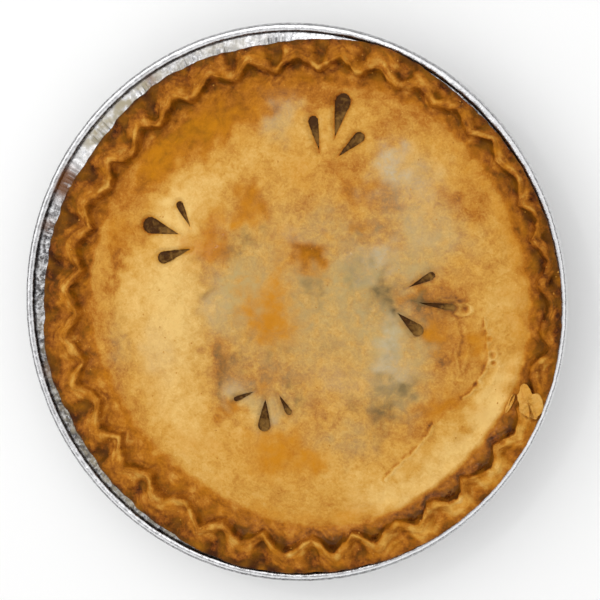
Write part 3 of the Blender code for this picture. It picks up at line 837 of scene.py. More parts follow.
def add_lid(builder, form, steps):
    """Round a square grid off into a disc that meets the rim point for point."""
    side = steps // 4
    made = bmesh.ops.create_grid(builder, x_segments=side, y_segments=side, size=1.0)
    for vertex in made["verts"]:
        x, y = vertex.co.xy
        if abs(x) >= abs(y):
            radius = abs(x)
            turn = math.pi / 4 * y / x if x else 0.0
            turn += math.pi if x < 0 else 0.0
        else:
            radius = abs(y)
            turn = math.pi / 2 - math.pi / 4 * x / y
            turn += math.pi if y < 0 else 0.0
        direction = form.direction(turn)
        reach = radius * form.moat_reach(direction)
        vertex.co = (reach * math.cos(direction), reach * math.sin(direction), 0.0)
    refine_near_details(builder)
    lid = [vertex for vertex in builder.verts if vertex.co.z == 0.0]
    for vertex in lid:
        vertex.co.z = form.lid_surface(vertex.co.x, vertex.co.y)


def refine_near_details(builder):
    """Split the grid twice where a slit's lip, a crease or a pit needs finer points."""
    near = DETAIL_REACH
    for _ in range(2):
        close = {vertex for vertex in builder.verts
                 if vertex.co.z == 0.0 and near_detail(*vertex.co.xy) < near}
        edges = {edge for vertex in close for edge in vertex.link_edges
                 if edge.other_vert(vertex) in close and not edge.is_boundary}
        bmesh.ops.subdivide_edges(builder, edges=list(edges), cuts=1, use_grid_fill=True)
        near *= 0.6
    many_sided = [face for face in builder.faces if len(face.verts) > 4 and face.verts[0].co.z == 0.0]
    bmesh.ops.triangulate(builder, faces=many_sided)


def slit_ring(builder, slit, height, draw_in):
    """Points round a teardrop at one height, drawn in from the slit's own outline."""
    wide, tip = slit_ends(slit, height)
    middle = slit_middle(slit, height)
    made = bmesh.ops.create_circle(
        builder, cap_ends=True, radius=slit[4] * MM / 2, segments=SLIT_POINTS)
    heading = math.atan2(tip.y - wide.y, tip.x - wide.x)
    for vertex in made["verts"]:
        turn = math.atan2(vertex.co.y, vertex.co.x)
        ray = Vector((math.cos(turn + heading), math.sin(turn + heading), 0.0))
        vertex.co = middle + ray * reach_along(slit, middle, ray, draw_in)
    return made["verts"]


def reach_along(slit, start, ray, draw_in):
    """How far a ray goes from inside a slit to its outline, found by halving."""
    low, high = 0.0, 30 * MM
    for _ in range(22):
        middle = (low + high) / 2
        place = start + ray * middle
        if slit_distance(slit, place.x, place.y, draw_in) < 0.0:
            low = middle
        else:
            high = middle
    return low


def make_slit_cutters():
    """Teardrop plugs that taper downwards, one for each slit."""
    builder = bmesh.new()
    for slit in SLITS:
        ring = slit_ring(builder, slit, SLIT_FOOT, SLIT_FOOT_DRAW_IN)
        raised = bmesh.ops.extrude_face_region(builder, geom=ring[0].link_faces[:])
        middle = slit_middle(slit)
        for vertex in made_by(raised, bmesh.types.BMVert):
            ray = (vertex.co - middle) * Vector((1, 1, 0))
            reach = ray.length
            ray.normalize()
            reach = max(reach_along(slit, middle, ray, -SLIT_TOP_SPREAD), reach)
            vertex.co = (middle.x + ray.x * reach, middle.y + ray.y * reach, SLIT_TOP)
    bmesh.ops.recalc_face_normals(builder, faces=builder.faces[:])
    return new_object("slit_cutter", builder)


def make_hollow_cutter():
    """The filling's own form, grown by the gap that it keeps to the pastry."""
    builder = bmesh.new()
    builder.from_mesh(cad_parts["peach_filling"].data)
    bmesh.ops.remove_doubles(builder, verts=builder.verts[:], dist=0.001 * MM)
    bmesh.ops.recalc_face_normals(builder, faces=builder.faces[:])
    for vertex in builder.verts:
        vertex.co += vertex.normal * GAP
    return new_object("hollow_cutter", builder)


def cut_away(piece, *cutters):
    """Apply Boolean cuts and remove the cutters."""
    faces_before = len(piece.data.polygons) + sum(len(cutter.data.polygons) for cutter in cutters)
    for cutter in cutters:
        modifier = piece.modifiers.new(cutter.name, 'BOOLEAN')
        modifier.operation = 'DIFFERENCE'
        modifier.solver = 'MANIFOLD'
        modifier.object = cutter
    depsgraph = bpy.context.evaluated_depsgraph_get()
    mesh = bpy.data.meshes.new_from_object(piece.evaluated_get(depsgraph))
    piece.modifiers.clear()
    piece.data = mesh
    for cutter in cutters:
        bpy.data.objects.remove(cutter)
    if len(mesh.polygons) in (0, faces_before):
        raise RuntimeError("the slits and the hollow weren't cut")


def soften_lips(mesh, form):
    """Round the sharp upper edge that the cut left round each slit."""
    builder = bmesh.new()
    builder.from_mesh(mesh)
    lips = []
    for vertex in builder.verts:
        x, y, height = vertex.co
        if height > form.lid_height(x, y) - LID_THICKNESS / 2 - form.look.lip_dip:
            if from_slit_outline(x, y) < LIP_WIDTH:
                lips.append(vertex)
    for _ in range(3):
        bmesh.ops.smooth_vert(
            builder, verts=lips, factor=0.5, use_axis_x=True, use_axis_y=True, use_axis_z=True)
    builder.to_mesh(mesh)
    builder.free()


# ------------------------------------------------------------ browning, point by point

# How baked, khaki, filmed, wet, juice-soaked and glazed the pastry is
BROWNING = ("baked", "greyed", "filmed", "wet", "amber", "glazed")


def browning_at(form, place):
    """The pastry's state at a place, one number for each name in BROWNING."""
    x, y, height = place
    radius = math.hypot(x, y)
    lid_x, lid_y = x / MM + layered_noise(x, y, STRAY_X), y / MM + layered_noise(x, y, STRAY_Y)
    direction, share, moat, crest, edge = form.along(form.turn_towards(math.atan2(y, x)))
    lid = rim = (0.0,) * len(BROWNING)
    margin = around(MARGIN, math.degrees(direction))
    border = moat + (0.8 + 1.3 * bumpiness(x, y, 0, 6 * MM, 63) - margin) * MM
    softness = 0.5 + margin / 5
    on_rim = smoothstep(border - 3.0 * softness * MM, border + 1.1 * MM, radius)
    if on_rim < 1.0:
        lid = lid_browning(form, x, y, height, lid_x, lid_y)
    if on_rim > 0.0:
        rim = rim_browning(x, y, radius, direction, share, crest, edge)
    return [clamp(mix(one, other, on_rim)) for one, other in zip(lid, rim)]


def lid_browning(form, x, y, height, lid_x, lid_y):
    """State of the lid at a place; the spots are read where the noise has moved it to."""
    baked = LID_BAKED + spots_at(BROWNED, lid_x, lid_y) - spots_at(PALE, lid_x, lid_y)
    baked += 0.55 * crease_at(x / MM, y / MM)[1]
    for away in pits_near(x / MM, y / MM):
        baked += 0.26 * bell(away, 0.8) - 0.10 * bell(away - 1.5, 0.4)
    # Painted shade down the slit walls and in a soft band round each slit's lip
    beyond = beyond_slits(x, y)
    if beyond < 4 * MM:
        slit_shade = smoothstep(0.2 * MM, 2.0 * MM, form.lid_height(x, y) - form.look.lip_dip - height)
        baked += 0.40 * slit_shade + 0.22 * (1.0 - smoothstep(-0.4 * MM, 1.1 * MM, beyond))
    others = [min(spots_at(spots, lid_x, lid_y), 1.3) for spots in (GREYED, FILMED, WET, AMBER, GLAZED)]
    return baked, *others


def rim_browning(x, y, radius, direction, share, crest, edge):
    """State of the rim: pockets inside darkened by browning and painted shade, a painted highlight along
    the ridge, hollows outside darkened by browning and painted shade, and a darker cut edge.
    """
    degrees = math.degrees(direction)
    pushed = clamp(share)
    pillow = smoothstep(PILLOW_START, PILLOW_END, share)
    inward = crest - radius
    patchy = bumpiness(x, y, 0, 5 * MM, 61)
    layers = CrustForm.layers(-inward, direction)
    uneven = bumpiness(x, y, 0, 11 * MM, 67)
    baked = RIM_BAKED + 0.20 * patchy + 0.14 * bumpiness(x, y, 0, 2.2 * MM, 65) - 0.12 * layers
    if inward > 0.0:
        # Pockets darkened by browning and painted shade, and a band of painted shade along the crest's
        # inner foot
        pinched = circle_reach(CREST_IN_CIRCLE, direction)
        pocket = smoothstep(pinched - 1.8 * MM, pinched + 2.0 * MM, radius)
        pocket *= smoothstep(0.1 * MM, 0.8 * MM, inward) * smoothstep(0.15, 0.75, pushed)
        foot = smoothstep(0.1 * MM, 0.8 * MM, inward) * (1.0 - smoothstep(1.0 * MM, 2.6 * MM, inward))
        baked += around(POCKET_SHADE_AND_BROWNING, degrees) * (1.0 + patchy) * pocket + 0.04 * foot
    else:
        # Darker in the hollows behind the pinches, from browning and painted shade; lighter on the pillows
        behind = smoothstep(2.0 * MM, 4.4 * MM, -inward)
        hollow = max(0.55 + 1.8 * uneven + 0.7 * patchy, 0.0)
        baked += 0.26 * behind * (1.0 - pillow) * hollow
        baked -= 0.10 * pillow * smoothstep(0.6 * MM, 2.0 * MM, -inward)
    outer = smoothstep(edge - 10 * MM, edge - 5 * MM, radius)
    baked += around(OUTER_BROWNING, degrees) * outer
    baked += 0.24 * smoothstep(edge - 4.0 * MM, edge - 0.8 * MM, radius)
    # Painted highlight along the top of the ridge, broken up by noise
    bright = max(0.55 + 1.9 * bumpiness(x, y, 0, 4.5 * MM, 69), 0.0)
    baked -= 0.18 * bright * bell(inward + 1.2 * MM, 1.5 * MM)
    baked += around(RIM_BROWNING, degrees)
    sticky = min(around(CARAMEL, degrees), 1.0) * smoothstep(0.2 * MM, 1.4 * MM, inward)
    baked += 0.18 * sticky * (1.0 - 0.6 * smoothstep(3.0 * MM, 7.0 * MM, inward))
    amber = 0.16 + 0.4 * patchy + 0.15 * smoothstep(3 * MM, 6 * MM, inward)
    return baked, 0.0, 0.0, 0.0, max(amber, 0.0), 0.32 * sticky


def keep_browning(mesh, form):
    values = [browning_at(form, vertex.co) for vertex in mesh.vertices]
    for name, column in zip(BROWNING, zip(*values)):
        keep_attribute(mesh, name, column)


# ------------------------------------------------------------ materials

def feed(tree, node, inputs):
    """Give a node's inputs plain values, or the sockets that feed them."""
    for name, value in inputs.items():
        if isinstance(value, bpy.types.NodeSocket):
            tree.links.new(value, node.inputs[name])
        else:
            node.inputs[name].default_value = value


def add_node(tree, kind, inputs=None, **settings):
    """Add a node with its settings, then feed its inputs."""
    node = tree.nodes.new(kind)
    for name, value in settings.items():
        setattr(node, name, value)
    feed(tree, node, inputs or {})
    return node


def calculate(tree, operation, *values, clamp=False):
    inputs = dict(enumerate(values))
    return add_node(tree, 'ShaderNodeMath', inputs, operation=operation, use_clamp=clamp).outputs[0]


def blend_colours(tree, share, start, end):
    """Mix two colours; of a mix node's sockets, inputs 6 and 7 and output 2 are for colours."""
    inputs = {0: share, 6: start, 7: end}
    return add_node(tree, 'ShaderNodeMix', inputs, data_type='RGBA').outputs[2]


def solid(colour):
    return (*colour, 1.0)


def colour_ramp(tree, place, *stops):
    """Colours along a ramp; each stop is a position and an RGB colour, from first to last."""
    node = add_node(tree, 'ShaderNodeValToRGB', {0: place})
    ramp = node.color_ramp.elements
    for element, (position, colour) in zip(ramp, (stops[0], stops[-1])):
        element.position, element.color = position, solid(colour)
    for position, colour in stops[1:-1]:
        ramp.new(position).color = solid(colour)
    return node.outputs["Color"]


def noise_texture(tree, coordinates, size, detail=3.0, roughness=0.55, distortion=0.0):
    """Noise whose bumps are about a given size apart, in metres."""
    inputs = {"Vector": coordinates, "Scale": 1.0 / size, "Detail": detail,
              "Roughness": roughness, "Distortion": distortion}
    return add_node(tree, 'ShaderNodeTexNoise', inputs).outputs["Fac"]


def stretch(tree, value, low, high, new_low=0.0, new_high=1.0):
    """Spread a value's range out over another one, and cut it off there."""
    inputs = {"Value": value, "From Min": low, "From Max": high, "To Min": new_low, "To Max": new_high}
    return add_node(tree, 'ShaderNodeMapRange', inputs).outputs["Result"]


def object_coordinates(tree):
    return add_node(tree, 'ShaderNodeTexCoord').outputs["Object"]


def read_attribute(tree, name):
    """The number that a mesh keeps for each of its points under a name."""
    return add_node(tree, 'ShaderNodeAttribute', attribute_name=name).outputs["Fac"]


def bump(tree, strength, distance, height):
    """Direction of a surface that a height makes uneven."""
    inputs = {"Strength": strength, "Distance": distance, "Height": height}
    return add_node(tree, 'ShaderNodeBump', inputs).outputs["Normal"]


def start_group(name, inputs, outputs):
    """A node group with named sockets; returns the tree and its two end nodes."""
    tree = bpy.data.node_groups.new(name, 'ShaderNodeTree')
    for socket, kind in inputs:
        tree.interface.new_socket(name=socket, in_out='INPUT', socket_type=kind)
    for socket, kind in outputs:
        tree.interface.new_socket(name=socket, in_out='OUTPUT', socket_type=kind)
    return tree, tree.nodes.new('NodeGroupInput'), tree.nodes.new('NodeGroupOutput')


def crumb_group():
    """Sandy grain of baked flour: mottling, fine grain and scattered specks, which the pastry uses as pale
    flecks of flour and painted highlights.
    """
    name = "crumb grain"
    if name in bpy.data.node_groups:
        return bpy.data.node_groups[name]
    number = 'NodeSocketFloat'
    outputs = [(socket, number) for socket in ("Mottling", "Blotches", "Grain", "Specks", "Height")]
    tree, start, end = start_group(name, (("Coarseness", number),), outputs)
    place = object_coordinates(tree)
    scaling = {0: place, "Scale": start.outputs["Coarseness"]}
    spot = add_node(tree, 'ShaderNodeVectorMath', scaling, operation='SCALE').outputs[0]
    mottling = noise_texture(tree, spot, 6.5 * MM, 4, 0.62, 0.4)
    blotches = noise_texture(tree, spot, 3.0 * MM, 4, 0.66, 1.2)
    grain = noise_texture(tree, spot, 0.9 * MM, 4, 0.68)
    sand = noise_texture(tree, spot, 2.1 * MM, 5, 0.72)
    cells = {"Vector": spot, "Scale": 1.0 / (1.7 * MM)}
    flour = add_node(tree, 'ShaderNodeTexVoronoi', cells, feature='F1').outputs["Distance"]
    specks = stretch(tree, flour, 0.10, 0.26, 1.0, 0.0)
    patchy = stretch(tree, sand, 0.52, 0.66)
    specks = calculate(tree, 'MULTIPLY', specks, patchy)
    height = calculate(tree, 'MULTIPLY_ADD', grain, 0.55, sand)
    feed(tree, end, {"Mottling": mottling, "Blotches": blotches, "Grain": grain, "Specks": specks,
                     "Height": height})
    return tree


def baked_colour_group(look):
    """Colour of pastry from how baked, greyed, filmed, wet and juice-soaked it is."""
    name = "baked colour"
    if name in bpy.data.node_groups:
        return bpy.data.node_groups[name]
    number = 'NodeSocketFloat'
    inputs = [(socket, number) for socket in ("Baked", "Greyed", "Filmed", "Wet", "Amber")]
    tree, start, end = start_group(name, inputs, (("Color", 'NodeSocketColor'),))
    colour = colour_ramp(
        tree, start.outputs["Baked"], (0.05, look.dough_colour), (0.40, look.golden_colour),
        (0.64, look.brown_colour), (0.84, look.dark_colour), (1.0, look.caramel_colour))
    layers = (("Greyed", 1.0, look.grey_colour), ("Filmed", 0.8, look.film_colour),
              ("Wet", 0.85, look.wet_colour), ("Amber", 0.86, look.amber_colour))
    for socket, most, layer_colour in layers:
        share = calculate(tree, 'MULTIPLY', start.outputs[socket], most, clamp=True)
        colour = blend_colours(tree, share, colour, solid(layer_colour))
    feed(tree, end, {"Color": colour})
    return tree


def new_material(name, **shader_values):
    """A material whose shader takes plain values; returns it with its tree and shader."""
    material = bpy.data.materials.new(name)
    material.use_nodes = True
    tree = material.node_tree
    shader = tree.nodes["Principled BSDF"]
    for socket, value in shader_values.items():
        shader.inputs[socket.replace("_", " ")].default_value = value
    return material, tree, shader


def pastry_material(look):
    """Pastry whose bake, wet patches and gloss follow the numbers that its mesh keeps."""
    material, tree, shader = new_material("baked pastry", Coat_Roughness=0.14, Specular_IOR_Level=0.08)
    read = {name: read_attribute(tree, name) for name in BROWNING}
    crumb = add_node(tree, 'ShaderNodeGroup', {"Coarseness": 1.0}, node_tree=crumb_group()).outputs
    mottling, blotches, grain = crumb["Mottling"], crumb["Blotches"], crumb["Grain"]

    uneven = stretch(tree, mottling, 0.25, 0.75, -0.16, 0.16)
    sandy = stretch(tree, grain, 0.25, 0.75, -0.10, 0.10)
    blotchy = stretch(tree, blotches, 0.30, 0.70, -0.10, 0.10)
    rough = calculate(tree, 'ADD', calculate(tree, 'ADD', uneven, sandy), blotchy)
    damp = calculate(tree, 'ADD', calculate(tree, 'MULTIPLY', read["greyed"], 1.4), 0.85)
    baked = calculate(tree, 'ADD', read["baked"], calculate(tree, 'MULTIPLY', rough, damp))
    # Pale specks: flecks of flour, and painted highlights of small raised flakes
    pale_specks_and_highlights = calculate(tree, 'MULTIPLY', crumb["Specks"], -0.18)
    baked = calculate(tree, 'ADD', baked, pale_specks_and_highlights, clamp=True)
    thick = stretch(tree, mottling, 0.32, 0.68, 0.65, 1.45)
    thin = stretch(tree, mottling, 0.32, 0.66, 1.30, 0.75)
    ragged = stretch(tree, blotches, 0.36, 0.62, 0.55, 1.30)
    torn = stretch(tree, mottling, 0.36, 0.62, 0.50, 1.25)
    on_lid = stretch(tree, read["baked"], 0.50, 0.66, 1.0, 0.0)
    orange = calculate(tree, 'MULTIPLY', on_lid, stretch(tree, mottling, 0.32, 0.50, 0.16, 0.0))
    state = {"Baked": baked}
    layers = {"greyed": (thick, 0.0), "filmed": (ragged, 0.0), "wet": (torn, 0.0), "amber": (thin, orange)}
    for name, (patches, flecks) in layers.items():
        share = calculate(tree, 'MULTIPLY', read[name], patches)
        state[name.capitalize()] = calculate(tree, 'ADD', share, flecks, clamp=True)
    colour = add_node(tree, 'ShaderNodeGroup', state, node_tree=baked_colour_group(look))

    dry = stretch(tree, grain, 0.30, 0.70, 0.42, 0.66)
    smoother = calculate(tree, 'MULTIPLY', read["glazed"], 0.34)
    feed(tree, shader, {
        "Base Color": colour.outputs["Color"],
        "Roughness": calculate(tree, 'SUBTRACT', dry, smoother, clamp=True),
        "Coat Weight": calculate(tree, 'MULTIPLY', read["glazed"], 0.5),
        "Normal": bump(tree, 0.6, 0.6 * MM, crumb["Height"])})
    return material


def loose_pastry_material(look, name, baked, amber):
    """Pastry of one bake, for flakes and crumbs."""
    material, tree, shader = new_material(name, Specular_IOR_Level=0.1)
    crumb = add_node(tree, 'ShaderNodeGroup', {"Coarseness": 1.15}, node_tree=crumb_group()).outputs
    uneven = stretch(tree, crumb["Mottling"], 0.3, 0.7, baked - 0.13, baked + 0.13)
    sandy = stretch(tree, crumb["Grain"], 0.25, 0.75, -0.10, 0.10)
    state = {"Baked": calculate(tree, 'ADD', uneven, sandy, clamp=True), "Amber": amber}
    colour = add_node(tree, 'ShaderNodeGroup', state, node_tree=baked_colour_group(look))
    feed(tree, shader, {
        "Base Color": colour.outputs["Color"],
        "Roughness": stretch(tree, crumb["Grain"], 0.3, 0.7, 0.45, 0.68),
        "Normal": bump(tree, 0.5, 0.4 * MM, crumb["Height"])})
    return material


def juice_material(look, name, shallow, deep, roughness):
    """Thick cooked juice with pulp in it."""
    material, tree, shader = new_material(
        name, Coat_Weight=0.02, Coat_Roughness=0.10, Specular_IOR_Level=0.06)
    place = object_coordinates(tree)
    pulp = noise_texture(tree, place, 2.6 * MM, 4, 0.6, 0.8)
    fibre = noise_texture(tree, place, 0.8 * MM, 3, 0.6)
    slit_shade = read_attribute(tree, "slit_shade")
    # Darker where the pulp is thin and where the mesh keeps painted shade
    share = calculate(tree, 'SUBTRACT', stretch(tree, pulp, 0.34, 0.68, 0.25, 1.1), slit_shade, clamp=True)
    colour = blend_colours(tree, share, solid(deep), solid(shallow))
    shine = stretch(tree, fibre, 0.60, 0.85, 0.0, 0.22)
    feed(tree, shader, {
        "Base Color": blend_colours(tree, shine, colour, solid(look.fruit_colour)),
        "Roughness": stretch(tree, fibre, 0.3, 0.7, roughness, roughness + 0.16),
        "Normal": bump(tree, 0.35, 0.5 * MM, pulp)})
    return material


def foil_material(look):
    """Crinkled foil with burned-on film and juice, and painted dark reflections and shade, where the mesh
    keeps them.
    """
    material, tree, shader = new_material("foil")
    residue, stain, painted_dark = (read_attribute(tree, name) for name in ("residue", "stain", "painted_dark"))
    place = object_coordinates(tree)
    cloud = noise_texture(tree, place, 5.0 * MM, 4, 0.6)
    scratch = noise_texture(tree, place, 0.7 * MM, 4, 0.7)
    crumple = noise_texture(tree, place, 1.8 * MM, 3, 0.6, 0.5)

    film = calculate(tree, 'MULTIPLY', residue, stretch(tree, cloud, 0.36, 0.58), clamp=True)
    burnt = calculate(tree, 'MULTIPLY', stain, stretch(tree, cloud, 0.24, 0.42), clamp=True)
    bare = blend_colours(tree, stretch(tree, scratch, 0.35, 0.75, 0.0, 0.35),
                         solid(look.foil_colour), solid([0.82 * part for part in look.foil_colour]))
    # Painted dark reflections and shade, made patchy by the crumple noise
    dark_patches = stretch(tree, crumple, 0.34, 0.60, 0.35, 1.35)
    painted_darkening = calculate(tree, 'MULTIPLY', painted_dark, dark_patches, clamp=True)
    bare = blend_colours(tree, painted_darkening, bare, solid(look.painted_dark_colour))
    filmed = blend_colours(tree, film, bare, solid(look.residue_colour))
    covered = calculate(tree, 'MAXIMUM', calculate(tree, 'MULTIPLY', film, 0.65), burnt)
    shine = stretch(tree, scratch, 0.3, 0.7, 0.20, 0.34)
    dull = calculate(tree, 'MULTIPLY', film, 0.22)
    height = calculate(tree, 'MULTIPLY_ADD', scratch, 0.12, crumple)
    feed(tree, shader, {
        "Base Color": blend_colours(tree, burnt, filmed, solid(look.stain_colour)),
        "Metallic": calculate(tree, 'SUBTRACT', 1.0, covered, clamp=True),
        "Roughness": calculate(tree, 'ADD', shine, dull, clamp=True),
        "Normal": bump(tree, 0.5, 0.4 * MM, height)})
    return material


# ------------------------------------------------------------ foil tin

def tin_profile(look):
    """Half section of the tin, from the middle of its base up, over the bead and back."""
    slope = math.atan2(FLANGE_HEIGHT - FOIL, FLANGE_RADIUS - BASE_RADIUS)
    across = FOIL / math.sin(slope)
    bead = look.bead_radius
    bead_centre = look.rim_radius - bead
    bead_height = FLANGE_HEIGHT + 0.2 * MM
    upper = [(BASE_INNER_RING, FOIL)]
    for rib in BASE_RIBS:
        upper += [(rib - RIB_HALF_WIDTH, FOIL), (rib, FOIL + RIB_HEIGHT), (rib + RIB_HALF_WIDTH, FOIL)]
    upper.append((BASE_FLAT_END, FOIL))
    wall = []
    for step in range(1, WALL_STEPS + 1):
        share = step / (WALL_STEPS + 0.6)
        wall.append((mix(BASE_RADIUS, FLANGE_RADIUS, share), mix(FOIL, FLANGE_HEIGHT, share)))
    flange = [(FLANGE_RADIUS - 0.3 * MM, FLANGE_HEIGHT - 0.6 * MM)]
    root = bead_centre - math.sqrt(bead ** 2 - (bead_height - FLANGE_HEIGHT) ** 2)
    for step in range(FLANGE_STEPS + 1):
        radius = mix(FLANGE_RADIUS + 0.6 * MM, root - 0.1 * MM, step / FLANGE_STEPS)
        flange.append((radius, FLANGE_HEIGHT))
    first = math.pi + math.asin((bead_height - FLANGE_HEIGHT) / bead)
    last = -math.pi + math.asin((bead_height - FLANGE_HEIGHT + FOIL) / bead)
    roll = []
    for step in range(ROLL_STEPS + 1):
        turn = mix(first, last, step / ROLL_STEPS)
        roll.append((bead_centre + bead * math.cos(turn), bead_height + bead * math.sin(turn)))
    under = [(mix(root, FLANGE_RADIUS + across + 0.4 * MM, step / 3), FLANGE_HEIGHT - FOIL)
             for step in range(1, 4)]
    outside = [(radius + across, height - 0.001 * MM) for radius, height in reversed(wall[::2])]
    below = [(BASE_RADIUS + 0.1 * MM, 0.0), (2 * BASE_INNER_RING, 0.0), (BASE_INNER_RING, 0.0)]
    return upper + wall + flange + roll + under + outside + below


def fold_pattern(look):
    """Irregular folds round the tin, one value for each step, in clusters."""
    draw = random.Random(FOLD_SEED)
    marks = []
    place, side = 0.0, 1
    while place < FULL_TURN:
        x, y = math.cos(place), math.sin(place)
        cluster = smoothstep(-0.22, 0.30, bumpiness(x, y, 0, 0.16, 71))
        height = side * mix(0.14, 1.0, cluster) * draw.uniform(0.55, 1.0)
        marks.append((place, height))
        width = look.fold_width * draw.uniform(0.45, 1.5) * mix(1.35, 0.75, cluster)
        place += width / 2 / FLANGE_RADIUS
        side = -side
    marks.append((FULL_TURN, marks[0][1]))
    pattern, mark = [], 0
    for step in range(look.steps):
        place = FULL_TURN * step / look.steps
        while marks[mark + 1][0] < place:
            mark += 1
        (start, low), (end, high) = marks[mark], marks[mark + 1]
        pattern.append(mix(low, high, (place - start) / (end - start)))
    return pattern


def press_tin(look):
    """Spin the section round, then press folds into wall and flange and dent the bead."""
    builder = bmesh.new()
    spin_round(builder, [(radius, 0.0, height) for radius, height in tin_profile(look)], look.steps)
    bmesh.ops.edgeloop_fill(builder, edges=open_edges(builder))
    folds = fold_pattern(look)
    bead_root = look.rim_radius - 2 * look.bead_radius
    for vertex in builder.verts:
        radius = vertex.co.xy.length
        angle = math.atan2(vertex.co.y, vertex.co.x) % FULL_TURN
        fold = folds[round(angle / FULL_TURN * look.steps) % look.steps]
        height = vertex.co.z
        up_the_wall = smoothstep(BASE_RADIUS, FLANGE_RADIUS, radius)
        before_bead = 1.0 - smoothstep(bead_root - 1.8 * MM, bead_root - 0.1 * MM, radius)
        reach = radius + WALL_PLEAT * fold * up_the_wall * before_bead * (radius < FLANGE_RADIUS + MM)
        if radius > FLANGE_RADIUS - MM:
            height += look.flange_fold * fold * before_bead
        on_bead = smoothstep(bead_root - 0.3 * MM, bead_root + 0.8 * MM, radius)
        x, y = vertex.co.xy
        dents = bumpiness(x, y, 0, 5 * MM, 73) + 0.6 * bumpiness(x, y, height, 2 * MM, 79)
        reach -= look.dent * on_bead * abs(dents)
        height += look.dent * on_bead * (dents - 0.3) * 0.8
        vertex.co.x = reach * math.cos(angle)
        vertex.co.y = reach * math.sin(angle)
        vertex.co.z = max(height, 0.0)
    bmesh.ops.recalc_face_normals(builder, faces=builder.faces[:])
    return builder


def keep_residue_and_painted_dark(mesh, look):
    """Film and stains on the flange, and painted dark reflections and shade on the bead, in the crease
    beside it and on the flange.
    """
    residue, stain, painted_dark = [], [], []
    bead_root = look.rim_radius - 2 * look.bead_radius
    for vertex in mesh.vertices:
        x, y, height = vertex.co
        radius, degrees = math.hypot(x, y), math.degrees(math.atan2(y, x))
        on_flange = smoothstep(FLANGE_RADIUS - 2 * MM, FLANGE_RADIUS, radius)
        on_flange *= 1.0 - smoothstep(bead_root - 0.5 * MM, bead_root + 0.4 * MM, radius)
        upper = smoothstep(FLANGE_HEIGHT - 0.35 * MM, FLANGE_HEIGHT - 0.2 * MM, height)
        residue.append(on_flange * upper * min(around(FLANGE_FILM, degrees), 1.0))
        reaches = smoothstep(FLANGE_RADIUS - MM, FLANGE_RADIUS, radius)
        reaches *= 1.0 - smoothstep(bead_root, bead_root + 1.8 * MM, radius)
        stain.append(upper * min(around(FLANGE_STAIN, degrees), 1.0) * reaches)
        # Painted shade in the crease beside the bead and along a fold on it, and painted dark reflections
        # on the bead's outer side and on the flange
        round_bead = min(around(BEAD_PAINTED_DARK, degrees), 1.0)
        crease = bell(radius - bead_root - 0.25 * MM, 0.55 * MM) * mix(0.45, 1.0, round_bead)
        outside = smoothstep(look.rim_radius - 1.3 * MM, look.rim_radius - 0.6 * MM, radius) * round_bead
        seam_shade = bell(radius - bead_root - 1.9 * MM, 0.28 * MM) * mix(0.3, 0.8, round_bead)
        painted_darkening = on_flange * around(FLANGE_PAINTED_DARK, degrees)
        painted_dark.append(min(max(crease, 0.85 * outside, seam_shade, painted_darkening), 1.0))
    keep_attribute(mesh, "residue", residue)
    keep_attribute(mesh, "stain", stain)
    keep_attribute(mesh, "painted_dark", painted_dark)


# ------------------------------------------------------------ juice, caramel and loose bits

def spin_disc(rings, steps):
    """A flat closed disc whose rings are one unit of radius apart, round a middle point."""
    disc = bmesh.new()
    spin_round(disc, [(float(ring), 0.0, 0.0) for ring in range(rings + 1)], steps)
    bmesh.ops.remove_doubles(disc, verts=disc.verts[:], dist=0.01)
    bmesh.ops.recalc_face_normals(disc, faces=disc.faces[:])
    if sum(face.normal.z for face in disc.faces) < 0.0:
        bmesh.ops.reverse_faces(disc, faces=disc.faces[:])
    return disc


def keep_juice_shade(mesh):
    """Painted shade on the juice: darker towards the upper left of each slit and round its edge."""
    slit_shades = []
    for vertex in mesh.vertices:
        x, y, _ = vertex.co
        slit = min(SLITS, key=lambda slit: slit_distance(slit, x, y))
        wide_x, wide_y, tip_x, tip_y, width = (value * MM for value in slit[:5])
        away_x, away_y = x - mix(wide_x, tip_x, 0.3), y - mix(wide_y, tip_y, 0.3)
        towards_left = (0.75 * away_y - 0.65 * away_x) / width
        near_edge = bell(slit_distance(slit, x, y), 0.6 * MM)
        slit_shades.append(0.38 + 0.60 * towards_left + 0.25 * near_edge)
    keep_attribute(mesh, "slit_shade", slit_shades)


def join_into(builder, part):
    """Add one bmesh to another and free it."""
    mesh = bpy.data.meshes.new("part")
    part.to_mesh(mesh)
    part.free()
    builder.from_mesh(mesh)
    bpy.data.meshes.remove(mesh)


def pour_slit_juice(form):
    """One pool in each slit, higher round its edge, down to the filling."""
    builder = bmesh.new()
    for number, slit in enumerate(SLITS):
        pool = spin_disc(POOL_RINGS, POOL_POINTS)
        middle = slit_middle(slit)
        bottom = form.lid_height(middle.x, middle.y) - LID_THICKNESS - 0.4 * MM
        for vertex in pool.verts:
            share = vertex.co.length / POOL_RINGS
            place = middle.copy()
            if share:
                ray = vertex.co.normalized()
                place += ray * reach_along(slit, middle, ray, 0.03 * MM) * share ** 0.8
            x, y = place.xy
            rise = 0.15 * MM * bell(max(-slit_distance(slit, x, y), 0.0), 0.5 * MM)
            pulp = 0.7 * MM * bumpiness(x, y, 0, 2.2 * MM, 80 + number)
            place.z = form.lid_height(x, y) - slit[5] * MM + rise + pulp
            vertex.co = place
        side = bmesh.ops.extrude_edge_only(pool, edges=open_edges(pool))
        for vertex in made_by(side, bmesh.types.BMVert):
            vertex.co.z = bottom
        bmesh.ops.contextual_create(pool, geom=open_edges(pool))
        bmesh.ops.recalc_face_normals(pool, faces=pool.faces[:])
        join_into(builder, pool)
    return builder


